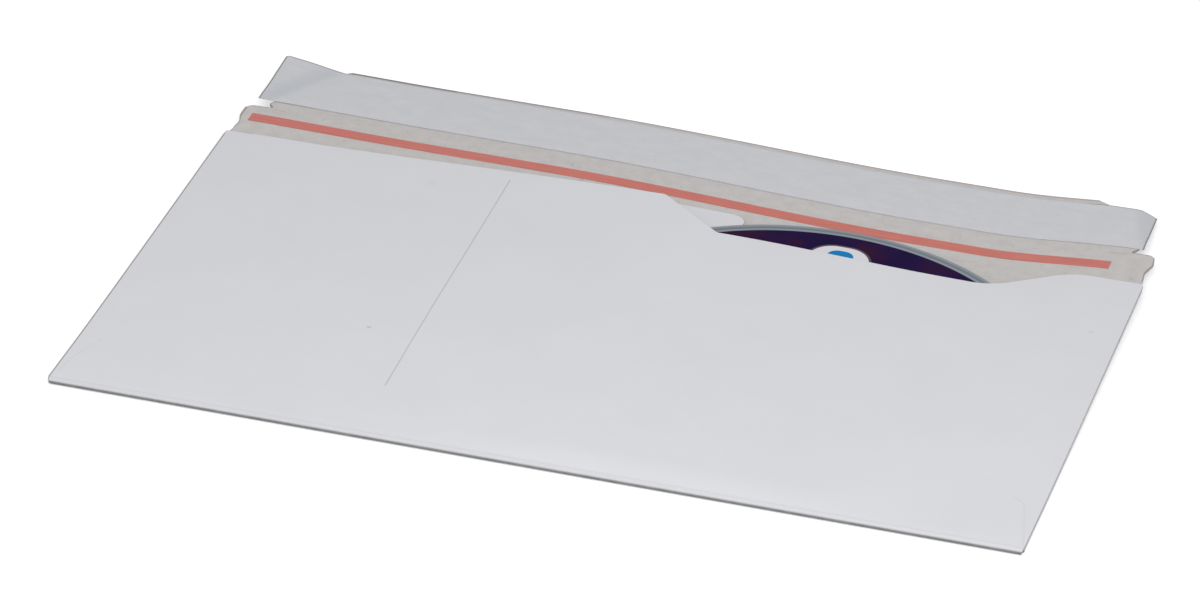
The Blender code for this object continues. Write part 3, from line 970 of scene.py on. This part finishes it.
@dataclass(frozen=True)
class LinerFinish:
    """Mottled siliconised paper of the release liner, with painted shade where it folds."""

    colour: Colour = (0.588, 0.594, 0.622)
    # Painted shade where the liner folds down past the flap's ends.
    fold_shade_colour: Colour = (0.50, 0.523, 0.563)
    mottle_colour: Colour = (0.625, 0.630, 0.657)
    edge_colour: Colour = (0.13, 0.125, 0.12)

    def make(self, kit: PatternKit, strip: "LinerStrip") -> bpy.types.Material:
        """Wire the liner.

        Args:
            kit: The shared patterns.
            strip: The liner's sizes, for its edges and for the painted shade of its folds past the flap's
                slanted ends.

        Returns:
            The material.
        """
        material = Material("release_liner", 0.42, 0.35)
        wire = material.wire
        place = wire.flat()
        stretched = wire.vector("MULTIPLY", place, (170.0, 260.0, 1.0))
        mottle = wire.noise(stretched, 1.0, 4.0, roughness=0.68)
        colour = wire.blend(wire.ramp(mottle, 0.34, 0.70), self.colour, self.mottle_colour)
        masks = LinerMasks(wire, strip, *wire.parts(place))
        # Painted shade where the liner bends down past the flap's left end and on its folded-down far right
        # corner.
        fold = wire.math("MAXIMUM", masks.left_fold(), masks.ear())
        colour = wire.blend(wire.scale(fold, 0.8), colour, self.fold_shade_colour)
        colour = wire.blend(masks.outline(), colour, self.edge_colour)
        felt = wire.group(kit.fibres, place=place, width=0.0002, length=0.0022)
        material.set("Base Color", wire.tint(colour, wire.scale(felt, 0.05, 0.97)))
        material.set("Roughness", wire.scale(mottle, 0.2, 0.32))
        material.bump(wire.noise(place, 130.0, 4.0), 0.25)
        return material.made


@dataclass(frozen=True)
class GlueFinish:
    """Dried glue or tacky transfer adhesive."""

    name: str
    colour: Colour
    roughness: float

    def make(self, kit: PatternKit) -> bpy.types.Material:
        """Wire the glue.

        Args:
            kit: The shared patterns.

        Returns:
            The material.
        """
        material = Material(self.name, self.roughness)
        wire = material.wire
        place = wire.object_place()
        cloud = wire.group(kit.cloud, place=place, size=0.003, depth=0.2)
        material.set("Base Color", wire.tint(self.colour, cloud))
        material.bump(wire.noise(place, 900.0, 2.0), 0.04)
        return material.made


@dataclass(frozen=True)
class DiscFinish:
    """Printed disc: a deep purple label with pale and blue bars, and a clear rim and hub."""

    purple: Colour = (0.013, 0.004, 0.047)
    wine: Colour = (0.033, 0.006, 0.028)
    navy: Colour = (0.006, 0.004, 0.034)
    pale: Colour = (0.70, 0.70, 0.74)
    blue: Colour = (0.010, 0.210, 0.50)
    line: Colour = (0.10, 0.075, 0.09)
    rim: Colour = (0.275, 0.310, 0.345)
    rim_line: Colour = (0.185, 0.215, 0.240)
    print_start: float = 22.5
    print_end: float = 57.2
    bar_start: float = 36.0
    bar_count: int = 8
    blur: float = 0.15
    hub_blur: float = 0.2

    def make(self, kit: PatternKit) -> bpy.types.Material:
        """Wire the disc.

        Args:
            kit: The shared patterns; not used.

        Returns:
            The material.
        """
        material = Material("printed_disc", 0.3, 0.012)
        wire = material.wire
        place = wire.flat()
        radius = wire.vector("LENGTH", place)
        cloud = wire.noise(place, 55.0, 3.0)
        label = wire.blend(wire.ramp(cloud, 0.46, 0.66), self.purple, self.wine)
        label = wire.blend(wire.ramp(cloud, 0.46, 0.34), label, self.navy)
        along = self._bar_places(wire, place, radius)
        for end, width, colour in ((52.9, 7.9, self.line), (52.3, 7.3, self.pale), (50.4, 3.2, self.blue)):
            label = wire.blend(self._bar(wire, along, radius, end, width), label, colour)
        outward = wire.node("CombineXYZ", {0: radius}).outputs[0]
        lines = wire.node("TexWave", {"Vector": outward, "Scale": 110.0}, wave_type="BANDS").outputs["Fac"]
        rim = wire.blend(wire.ramp(lines, 0.6, 0.9), self.rim, self.rim_line)
        out = wire.ramp(radius, self.print_end * MM, (self.print_end + self.blur) * MM)
        hub = wire.ramp(radius, self.print_start * MM, (self.print_start - self.hub_blur) * MM)
        clear = wire.math("MAXIMUM", out, hub)
        material.set("Base Color", wire.blend(clear, label, rim))
        material.set("Roughness", wire.scale(clear, -0.15, 0.3))
        material.bump(wire.noise(place, 2600.0, 1.0), 0.004)
        return material.made

    def _bar_places(self, wire: Wiring, place: Socket, radius: Socket) -> Socket:
        """Distance along the circle to the middle of the nearest bar.

        Args:
            wire: The material's wiring.
            place: Place on the disc.
            radius: Distance from its middle.

        Returns:
            The distance, in metres.
        """
        angle = wire.math("ARCTAN2", *wire.parts(place))
        near = wire.math("PINGPONG", wire.math("ADD", angle, math.tau), math.pi / self.bar_count)
        return wire.math("MULTIPLY", radius, near)

    def _bar(self, wire: Wiring, along: Socket, radius: Socket, end: float, width: float) -> Socket:
        """Mask of the bars, whose outer corners are rounded.

        Args:
            wire: The material's wiring.
            along: Distance along the circle to the nearest bar's middle.
            radius: Distance from the disc's middle.
            end: Radius where the bars end.
            width: Half of their width.

        Returns:
            A mask.
        """
        corner = 0.8 * width
        over = [wire.math("MAXIMUM", wire.math("SUBTRACT", value, (limit - corner) * MM), 0.0)
                for value, limit in ((along, width), (radius, end))]
        away = wire.vector("LENGTH", wire.node("CombineXYZ", {0: over[0], 1: over[1]}).outputs[0])
        inside = wire.ramp(away, corner * MM, (corner - self.blur) * MM)
        begun = wire.ramp(radius, self.bar_start * MM, (self.bar_start + self.blur) * MM)
        return wire.math("MULTIPLY", inside, begun)


@dataclass
class CardSheet:
    """The die-cut blank: pouch panels, side flaps and closure flap in one folded sheet."""

    form: PouchForm
    kit: PatternKit
    recess_left: float = 109.4
    recess_right: float = 207.5
    recess_depth: float = 13.5
    recess_left_ramp: float = 16.3
    recess_right_ramp: float = 15.5
    recess_left_cut: float = 0.6
    recess_right_cut: float = 5.0
    side_fold_top: float = 124.0
    inner_taper_start: float = 4.0
    inner_taper_width: float = 6.5
    inner_bottom: float = 22.5
    inner_cut: float = 3.5
    glue_flap_width: float = 9.8
    glue_taper_start: float = 1.6
    glue_taper_width: float = 3.8
    glue_bottom: float = 21.0
    glue_cut: float = 2.0
    mouth_left_y: float = 125.7
    left_tab: tuple[Corner, ...] = (
        (0.2, 128.5, 0.0), (0.9, 132.7, 0.5), (0.0, 136.6, 0.8), (0.0, 141.8, 1.9),
        (5.9, 142.1, 0.0), (6.1, 142.6, 0.0), (4.9, 144.0, 0.3))
    right_tab: tuple[Corner, ...] = (
        (0.9, 128.5, 0.0), (1.35, 133.1, 0.3), (0.3, 137.3, 0.8), (0.7, 142.0, 1.6),
        (6.1, 142.0, 0.0), (6.2, 142.4, 0.0), (5.0, 144.6, 0.3))
    front_marks: tuple[MarkRun, ...] = (
        MarkRun(((72.35, 121.2), (72.85, 21.4)), 0.17, 0.5),
        # The side flaps' ends pressing through: a groove in the bump, and painted shade in the colour.
        MarkRun(((1.3, 3.9), (1.9, 10.5), (5.4, 21.0)), 0.45, 0.07),
        MarkRun(((224.6, 1.5), (221.3, 17.8), (220.5, 19.8), (218.0, 21.6)), 0.45, 0.07),
        MarkRun(((61.2, 45.2), (61.7, 45.3)), 0.5, 0.4),
        MarkRun(((54.7, 114.6), (55.2, 114.7)), 1.4, 0.06),
        MarkRun(((217.9, 99.2), (218.4, 99.3)), 0.6, 0.15),
        # A dark line along the left side.
        MarkRun(((0.1, -0.2), (0.1, 124.0)), 0.34, 0.9))
    back_marks: tuple[MarkRun, ...] = (
        # Painted shade in the crease.
        MarkRun(((0.9, 128.5), (224.1, 128.5)), 0.5, 0.03),
        MarkRun(((7.2, 141.6), (10.0, 141.1)), 0.16, 0.45),
        MarkRun(((213.6, 140.6), (217.6, 141.4)), 0.16, 0.45),
        # Painted shadow on the board strip beyond the liner's far edge.
        MarkRun(((18.3, 167.2), (45.0, 167.2)), 1.2, 1.0),
        MarkRun(((45.0, 167.2), (82.0, 167.2)), 1.0, 0.75),
        MarkRun(((82.0, 167.2), (205.4, 167.2)), 0.9, 0.5))
    outline_width: float = 0.36
    outline_shade: float = 0.7
    flap_chamfer: float = 1.8
    corner_cut: float = 0.8
    grid: float = 2.5
    turn_start: float = 127.0
    turn_end: float = 132.6
    turn_grid: float = 0.5
    fold_steps: int = 10
    arc_segments: int = 8

    def pouch_corners(self) -> list[Corner]:
        """Die line of the pouch's panels and side flaps.

        Returns:
            Its corners on the blank, from the back panel's left side round to its right.
        """
        form = self.form
        left, right, bottom = form.left_fold, form.right_fold, form.bottom_fold
        recess, glue_top = form.mouth_y - self.recess_depth, self.side_fold_top - self.glue_cut
        glue_x, taper_x = form.width - self.glue_flap_width, form.width - self.glue_taper_width
        panels = (
            (form.on_back, [(left, self.side_fold_top, 0.0)]),
            (form.on_left_flap, [
                (left, self.side_fold_top, 0.0), (self.inner_taper_width, form.inner_flap_top, 0.0),
                (form.inner_flap_width, form.inner_flap_top, self.inner_cut),
                (form.inner_flap_width, self.inner_bottom, self.inner_cut),
                (self.inner_taper_width, self.inner_bottom, self.glue_cut),
                (left, self.inner_taper_start, 0.0)]),
            (form.on_back, [(left, self.inner_taper_start, 0.0), (left, bottom, 0.0)]),
            (form.on_front, [
                (0.0, bottom, 0.0), (0.0, self.mouth_left_y, self.corner_cut),
                (self.recess_left, form.mouth_y, self.recess_left_cut),
                (self.recess_left + self.recess_left_ramp, recess, self.recess_left_cut),
                (self.recess_right - self.recess_right_ramp, recess, self.recess_right_cut),
                (self.recess_right, form.mouth_y, self.recess_right_cut),
                (form.width, form.mouth_y, self.corner_cut), (form.width, bottom, 0.0)]),
            (form.on_back, [(right, bottom, 0.0), (right, self.glue_taper_start, 0.0)]),
            (form.on_right_flap, [
                (right, self.glue_taper_start, 0.0), (taper_x, self.glue_bottom, self.glue_cut),
                (glue_x, self.glue_bottom, self.glue_cut), (glue_x, glue_top, self.glue_cut),
                (right, self.side_fold_top, 0.0)]),
            (form.on_back, [(right, self.side_fold_top, 0.0)]),
        )
        return [(*panel(x, y), cut) for panel, corners in panels for x, y, cut in corners]

    def flap_corners(self) -> list[Corner]:
        """Die line of the closure flap.

        Returns:
            Its corners on the blank, from its right side round to its left.
        """
        form = self.form
        inset, top, size = form.flap_end_inset, form.flap_top, self.flap_chamfer
        right_end = (inset - size / 2, top - size, 0.0), (inset + size, top, 0.0)
        left_end = (inset - size, top - size, 0.0), (inset + size / 2, top, 0.0)
        right = [(*form.on_back(form.width - x, y), cut) for x, y, cut in self.right_tab + right_end]
        left = [(*form.on_back(x, y), cut) for x, y, cut in reversed(self.left_tab + left_end)]
        return right + left

    def score_blank(self, bm: bmesh.types.BMesh) -> None:
        """Score the blank into a grid, with close lines in its folds.

        Args:
            bm: The blank.
        """
        form = self.form
        width = form.right_fold - form.left_fold
        arcs = [k / self.fold_steps for k in range(self.fold_steps + 1)]
        score(bm, 1, [-share * form.bottom_arc for share in arcs])
        front = form.on_front(0.0, form.mouth_y)[1]
        score(bm, 1, spaced(-form.bottom_arc, front, self.grid)[1:-1])
        start, end = (form.on_back(0.0, y)[1] for y in (self.turn_start, self.turn_end))
        top = form.on_back(0.0, form.flap_top)[1]
        rows = spaced(0.0, start, self.grid)[1:] + spaced(start, end, self.turn_grid)[1:]
        score(bm, 1, rows + spaced(end, top, self.grid)[1:-1])
        score(bm, 0, spaced(0.0, width, self.grid)[1:-1])
        far_left = form.on_left_flap(form.inner_flap_width, 0.0)[0]
        far_right = form.on_right_flap(form.width - self.glue_flap_width, 0.0)[0]
        score(bm, 0, spaced(-form.side_arc, far_left, self.grid)[1:-1])
        score(bm, 0, spaced(width + form.side_arc, far_right, self.grid)[1:-1])

        def above_fold(face: bmesh.types.BMFace) -> bool:
            """Whether a face lies on the back panel or a side flap."""
            return face.calc_center_median().y > 0.0

        score(bm, 0, [-share * form.side_arc for share in arcs], above_fold)
        score(bm, 0, [width + share * form.side_arc for share in arcs], above_fold)

    def outer_lines(self) -> list[PressedLine]:
        """Marks on the coated face: the long cut, the side flaps' ends pressing through as painted shade,
        scuffs and a dark line along the left side.
        """
        return [line for run in self.front_marks for line in run.pressed(self.form.on_front)]

    def inner_lines(self) -> list[PressedLine]:
        """Marks on the grey face.

        Returns:
            The crease's painted shade, the tear tape's starting cuts, dark lines along the flap's ends, and
            painted shadow beyond the liner's far edge.
        """
        lines = [line for run in self.back_marks for line in run.pressed(self.form.on_back)]
        corners, width, shade = self.flap_corners(), self.outline_width, self.outline_shade
        for side in (corners[:8], corners[-8:]):
            lines += [PressedLine(near[:2], far[:2], width, shade) for near, far in zip(side, side[1:])]
        return lines

    def build(self) -> bpy.types.Object:
        """Cut, score and fold the blank.

        Returns:
            The card sheet.
        """
        bm = cut_sheet(self.pouch_corners() + self.flap_corners(), self.arc_segments)
        self.score_blank(bm)
        keep_flat_places(bm)
        for vert in bm.verts:
            vert.co = self.form.fold(vert.co.x, vert.co.y)
        materials = [BoardFinish().make(self.kit, self.inner_lines()),
                     CoatedFinish().make(self.kit, self.form, self.outer_lines()), CutFinish().make(self.kit)]
        sheet = finish_piece("card_sheet", bm, self.form, materials, self.form.board,
                             (CardFace.COATED.value, CardFace.CUT.value))
        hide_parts("pouch", "closure_flap")
        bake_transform(sheet)
        return sheet


@dataclass
class FlapStrip:
    """A thin strip that lies on the closure flap's inner side."""

    form: PouchForm
    name: str
    left: float
    right: float
    bottom: float
    top: float
    base: float
    thickness: float
    slot: str
    grid: float = 2.5
    rows: float = 1.0
    skew: float = 0.0
    end_slants: Place = (0.0, 0.0)
    far_corner: float = 0.0
    corner_segments: int = 4

    def bend(self, x: float, y: float) -> float:
        """Height of the card under the strip."""
        return self.form.back_bend(x, y)

    def build(self, material: bpy.types.Material) -> bpy.types.Object:
        """Make the strip and lay it on the flap.

        Args:
            material: Its finish.

        Returns:
            The strip.
        """
        corners = [(self.left, self.bottom, 0.0), (self.right, self.bottom, 0.0), (self.right, self.top, 0.0),
                   (self.left, self.top, self.far_corner)]
        bm = cut_sheet(corners, self.corner_segments)
        score(bm, 0, spaced(self.left, self.right, self.grid)[1:-1])
        score(bm, 1, spaced(self.bottom, self.top, self.rows)[1:-1])
        keep_flat_places(bm)
        for vert in bm.verts:
            along = (vert.co.x - self.left) / (self.right - self.left)
            far = (vert.co.y - self.bottom) / (self.top - self.bottom)
            left_slant, right_slant = self.end_slants
            x = vert.co.x + far * (left_slant * (1.0 - along) + right_slant * along)
            y = vert.co.y + self.skew * (0.5 - along)
            vert.co = Vector((x, y, self.base + self.thickness / 2 + self.bend(x, y)))
        strip = finish_piece("strip_" + self.name, bm, self.form, [material], self.thickness)
        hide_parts(self.name)
        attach(strip, "flap_body")
        return strip


@dataclass
class LinerStrip(FlapStrip):
    """The release liner, which rises past the flap's left end and folds down at its far right corner."""

    near_slope: float = 0.01
    far_slope: float = 0.18
    sag_slope: float = 0.07
    ear: float = 5.0
    ear_slope: float = 0.38
    ripple: float = 0.12
    ripple_waves: tuple[Place, Place] = ((0.31, 0.12), (0.11, -0.35))
    calm_half: float = 80.0
    calm_run: float = 30.0
    calm_share: float = 0.25
    near_run: float = 3.0
    outline: float = 0.5
    edge_drop: float = 0.08
    edge_run: float = 2.5

    def overhang(self, x: float, y: float) -> Place:
        """How far a point of the liner hangs out past the flap's slanted ends.

        Args:
            x: Place along the long side.
            y: Place from the bottom fold.

        Returns:
            The distance past the left end, then past the right.
        """
        form = self.form
        run = form.flap_end_inset - form.flap_shoulder_inset
        rise = form.flap_top - form.flap_shoulder
        edge = form.flap_shoulder_inset + run * (y - form.flap_shoulder) / rise
        slope = rise / math.hypot(run, rise)
        return (edge - x) * slope, (x - (form.width - edge)) * slope

    def bend(self, x: float, y: float) -> float:
        """Height of the liner's underside over the flap's top.

        Args:
            x: Place along the long side.
            y: Place from the bottom fold.

        Returns:
            The height.
        """
        left, right = (max(away, 0.0) for away in self.overhang(x, y))
        far = min(max((y - self.bottom) / (self.top - self.bottom), 0.0), 1.0)
        turned = left * (self.near_slope + (self.far_slope - self.near_slope) * far) - self.sag_slope * right
        turned -= self.ear_slope * max(x - self.right + self.ear * far, 0.0)
        wave = 1.0 + math.prod(math.sin(x * across + y * along) for across, along in self.ripple_waves)
        free = smoothstep((abs(x - self.form.width / 2) - self.calm_half) / self.calm_run)
        lift = self.ripple * wave * (self.calm_share + (1.0 - self.calm_share) * free)
        near = min(max((y - self.bottom) / self.near_run, 0.0), 1.0)
        drop = self.edge_drop * smoothstep(1.0 - (y - self.bottom) / self.edge_run)
        return self.form.back_bend(x, y) + turned + lift * near - drop


@dataclass
class Disc:
    """The disc in the pocket, turned from its section."""

    form: PouchForm
    bore: float = 7.5
    ring: float = 17.0
    ring_width: float = 0.8
    ring_height: float = 0.2
    groove: float = 22.0
    groove_width: float = 0.5
    groove_depth: float = 0.08
    chamfer: float = 0.12
    steps: int = 180
    turn_rank: float = 1000.0
    height_rank: float = 10.0

    def section(self) -> list[Place]:
        """Closed section of the disc.

        Returns:
            Its corners, as radius and height.
        """
        top, rim, cut = self.form.disc_thickness, self.form.disc_radius, self.chamfer
        ring_end = self.ring + self.ring_width
        groove_end = self.groove + self.groove_width
        return [
            (self.bore, cut), (self.bore + cut, 0.0), (self.ring, 0.0), (self.ring + cut, -self.ring_height),
            (ring_end - cut, -self.ring_height), (ring_end, 0.0), (rim - cut, 0.0), (rim, cut),
            (rim, top - cut), (rim - cut, top), (groove_end, top),
            (groove_end - cut, top - self.groove_depth), (self.groove + cut, top - self.groove_depth),
            (self.groove, top), (self.bore + cut, top), (self.bore, top - cut),
        ]

    def rank(self, verts: Iterable[bmesh.types.BMVert]) -> float:
        """Fixed order round the disc, as spin leaves the parts in another order each run.

        Args:
            verts: The corners of one part of the disc, before it is tilted.

        Returns:
            A number that no other part of its kind has.
        """
        places = [vert.co for vert in verts]
        middle = sum(places, Vector()) / len(places)
        half_steps = round(2 * self.steps * math.atan2(middle.y, middle.x) / math.tau) % (2 * self.steps)
        return self.turn_rank * half_steps + middle.xy.length + self.height_rank * middle.z

    def build(self, material: bpy.types.Material) -> bpy.types.Object:
        """Turn the disc and lay it on its seat.

        Args:
            material: Its finish.

        Returns:
            The disc.
        """
        bm = bmesh.new()
        verts = [bm.verts.new((radius, 0.0, z)) for radius, z in self.section()]
        edges = [bm.edges.new((verts[i - 1], verts[i])) for i in range(len(verts))]
        bmesh.ops.spin(bm, geom=verts + edges, axis=(0, 0, 1), cent=ORIGIN, angle=math.tau,
                       steps=self.steps, use_merge=True)
        bmesh.ops.recalc_face_normals(bm, faces=bm.faces[:])
        bm.verts.sort(key=lambda vert: self.rank([vert]))
        bm.edges.sort(key=lambda edge: self.rank(edge.verts))
        bm.faces.sort(key=lambda face: self.rank(face.verts))
        keep_flat_places(bm)
        middle, facing = self.form.disc_seat
        turn = Vector((0.0, 0.0, 1.0)).rotation_difference(facing).to_matrix()
        bmesh.ops.rotate(bm, verts=bm.verts[:], cent=ORIGIN, matrix=turn)
        bmesh.ops.translate(bm, verts=bm.verts[:], vec=middle)
        disc = finish_piece("printed_disc", bm, self.form, [material])
        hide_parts("disc")
        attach(disc, "pouch_body")
        return disc


@dataclass
class Studio:
    """Camera, pale floor and plain soft light. Places are in metres in the shared frame."""

    eye: Vector = field(default_factory=lambda: Vector((0.35494, -1.38102, 0.76675)))
    right: Vector = field(default_factory=lambda: Vector((0.960858, 0.274125, 0.040106)))
    up: Vector = field(default_factory=lambda: Vector((-0.164024, 0.446221, 0.879763)))
    lens: float = 210.0
    floor_size: float = 3.0
    floor_drop: float = 0.0001
    floor_level: float = 0.84
    floor_white: float = 1.26
    world_level: float = 0.5
    key_place: Vector = field(default_factory=lambda: Vector((0.14, -0.5, 0.54)))
    key_size: float = 0.6
    key_power: float = 3.65

    def add_camera(self) -> None:
        """Stand the camera where the photograph was taken from."""
        data = bpy.data.cameras.new("camera")
        data.lens = self.lens
        data.sensor_width = 36.0
        data.clip_start, data.clip_end = 0.05, 20.0
        camera = add_object("camera", data)
        back = self.right.cross(self.up).normalized()
        turn = Matrix((self.right, back.cross(self.right).normalized(), back)).transposed()
        camera.matrix_world = Matrix.Translation(self.eye) @ turn.to_4x4()
        bpy.context.scene.camera = camera

    def seen_rays(self, wire: Wiring) -> Socket:
        """Tell rays that show the background from rays that light the object.

        Args:
            wire: The wiring of the world or of the floor's material.

        Returns:
            1 for rays from the camera, a gloss or a clear surface, 0 for the others.
        """
        path = wire.node("LightPath", {})
        rays = wire.math("MAXIMUM", path.outputs["Is Camera Ray"], path.outputs["Is Glossy Ray"])
        return wire.math("MAXIMUM", rays, path.outputs["Is Transmission Ray"])

    def add_world(self) -> None:
        """Light from all round, behind which the background shows white."""
        world = bpy.data.worlds.new("studio")
        bpy.context.scene.world = world
        world.use_nodes = True
        wire = Wiring(world.node_tree)
        extra = wire.math("MULTIPLY", self.seen_rays(wire), 1.0 - self.world_level)
        background = world.node_tree.nodes["Background"]
        background.inputs["Color"].default_value = (1.0, 1.0, 1.0, 1.0)
        world.node_tree.links.new(wire.math("ADD", extra, self.world_level), background.inputs["Strength"])

    def add_floor(self) -> None:
        """Pale floor that keeps the object's shadow and shows white to the camera."""
        bm = bmesh.new()
        bmesh.ops.create_grid(bm, x_segments=1, y_segments=1, size=self.floor_size / 2)
        bmesh.ops.translate(bm, verts=bm.verts[:], vec=(0.0, 0.0, -self.floor_drop))
        mesh = bpy.data.meshes.new("floor")
        bm.to_mesh(mesh)
        bm.free()
        floor = add_object("floor", mesh)
        material = bpy.data.materials.new("pale_floor")
        material.use_nodes = True
        wire = Wiring(material.node_tree)
        material.node_tree.nodes.remove(material.node_tree.nodes["Principled BSDF"])
        level = self.floor_level
        pale = wire.node("BsdfDiffuse", {"Color": (level, level, level)}).outputs[0]
        glow = wire.math("MULTIPLY", self.seen_rays(wire), self.floor_white - level)
        light = wire.node("Emission", {"Color": (1.0, 1.0, 1.0), "Strength": glow}).outputs[0]
        both = wire.node("AddShader", {0: pale, 1: light}).outputs[0]
        material.node_tree.links.new(both, material.node_tree.nodes["Material Output"].inputs["Surface"])
        mesh.materials.append(material)

    def add_key(self) -> None:
        """One large soft lamp above the front right."""
        data = bpy.data.lights.new("key", "AREA")
        data.energy = self.key_power
        data.size = self.key_size
        lamp = add_object("key", data)
        lamp.location = self.key_place
        lamp.rotation_euler = (-self.key_place).to_track_quat("-Z", "Y").to_euler()

    def build(self) -> None:
        """Set the stage."""
        self.add_camera()
        self.add_world()
        self.add_floor()
        self.add_key()
        bpy.context.scene.view_settings.view_transform = "Standard"


def dress_node(node: bpy.types.Object, material: bpy.types.Material) -> None:
    """Give a carried-over CAD node its finish.

    Args:
        node: The node.
        material: Its finish.
    """
    node.data.materials.clear()
    node.data.materials.append(material)
    log.info("%s: dressed", node.name)


def main() -> None:
    """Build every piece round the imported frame."""
    logging.basicConfig(level=logging.INFO, format="%(message)s")
    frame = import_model()
    Studio().build()
    form, kit = PouchForm(), PatternKit()
    CardSheet(form, kit).build()
    tape = FlapStrip(form, "tear_tape", left=2.7, right=215.0, bottom=133.2, top=137.0, base=0.51,
                     thickness=0.08, slot="tear_tape", skew=1.5)
    tape.build(TapeFinish().make(kit))
    liner = LinerStrip(form, "release_liner", left=1.6, right=221.1, bottom=144.8, top=165.0, base=0.66,
                       thickness=0.12, slot="release_liner", skew=1.4, end_slants=(0.6, -0.9),
                       far_corner=1.0, grid=1.25)
    liner.build(LinerFinish().make(kit, liner))
    Disc(form).build(DiscFinish().make(kit))
    glue = GlueFinish("seam_glue", (0.75, 0.72, 0.62), 0.35).make(kit)
    tack = GlueFinish("transfer_adhesive", (0.82, 0.80, 0.72), 0.25).make(kit)
    for name in ("glue_seam_left", "glue_seam_right"):
        dress_node(frame["nodes"][name], glue)
    dress_node(frame["nodes"]["adhesive_strip"], tack)


if __name__ == "__main__":
    main()
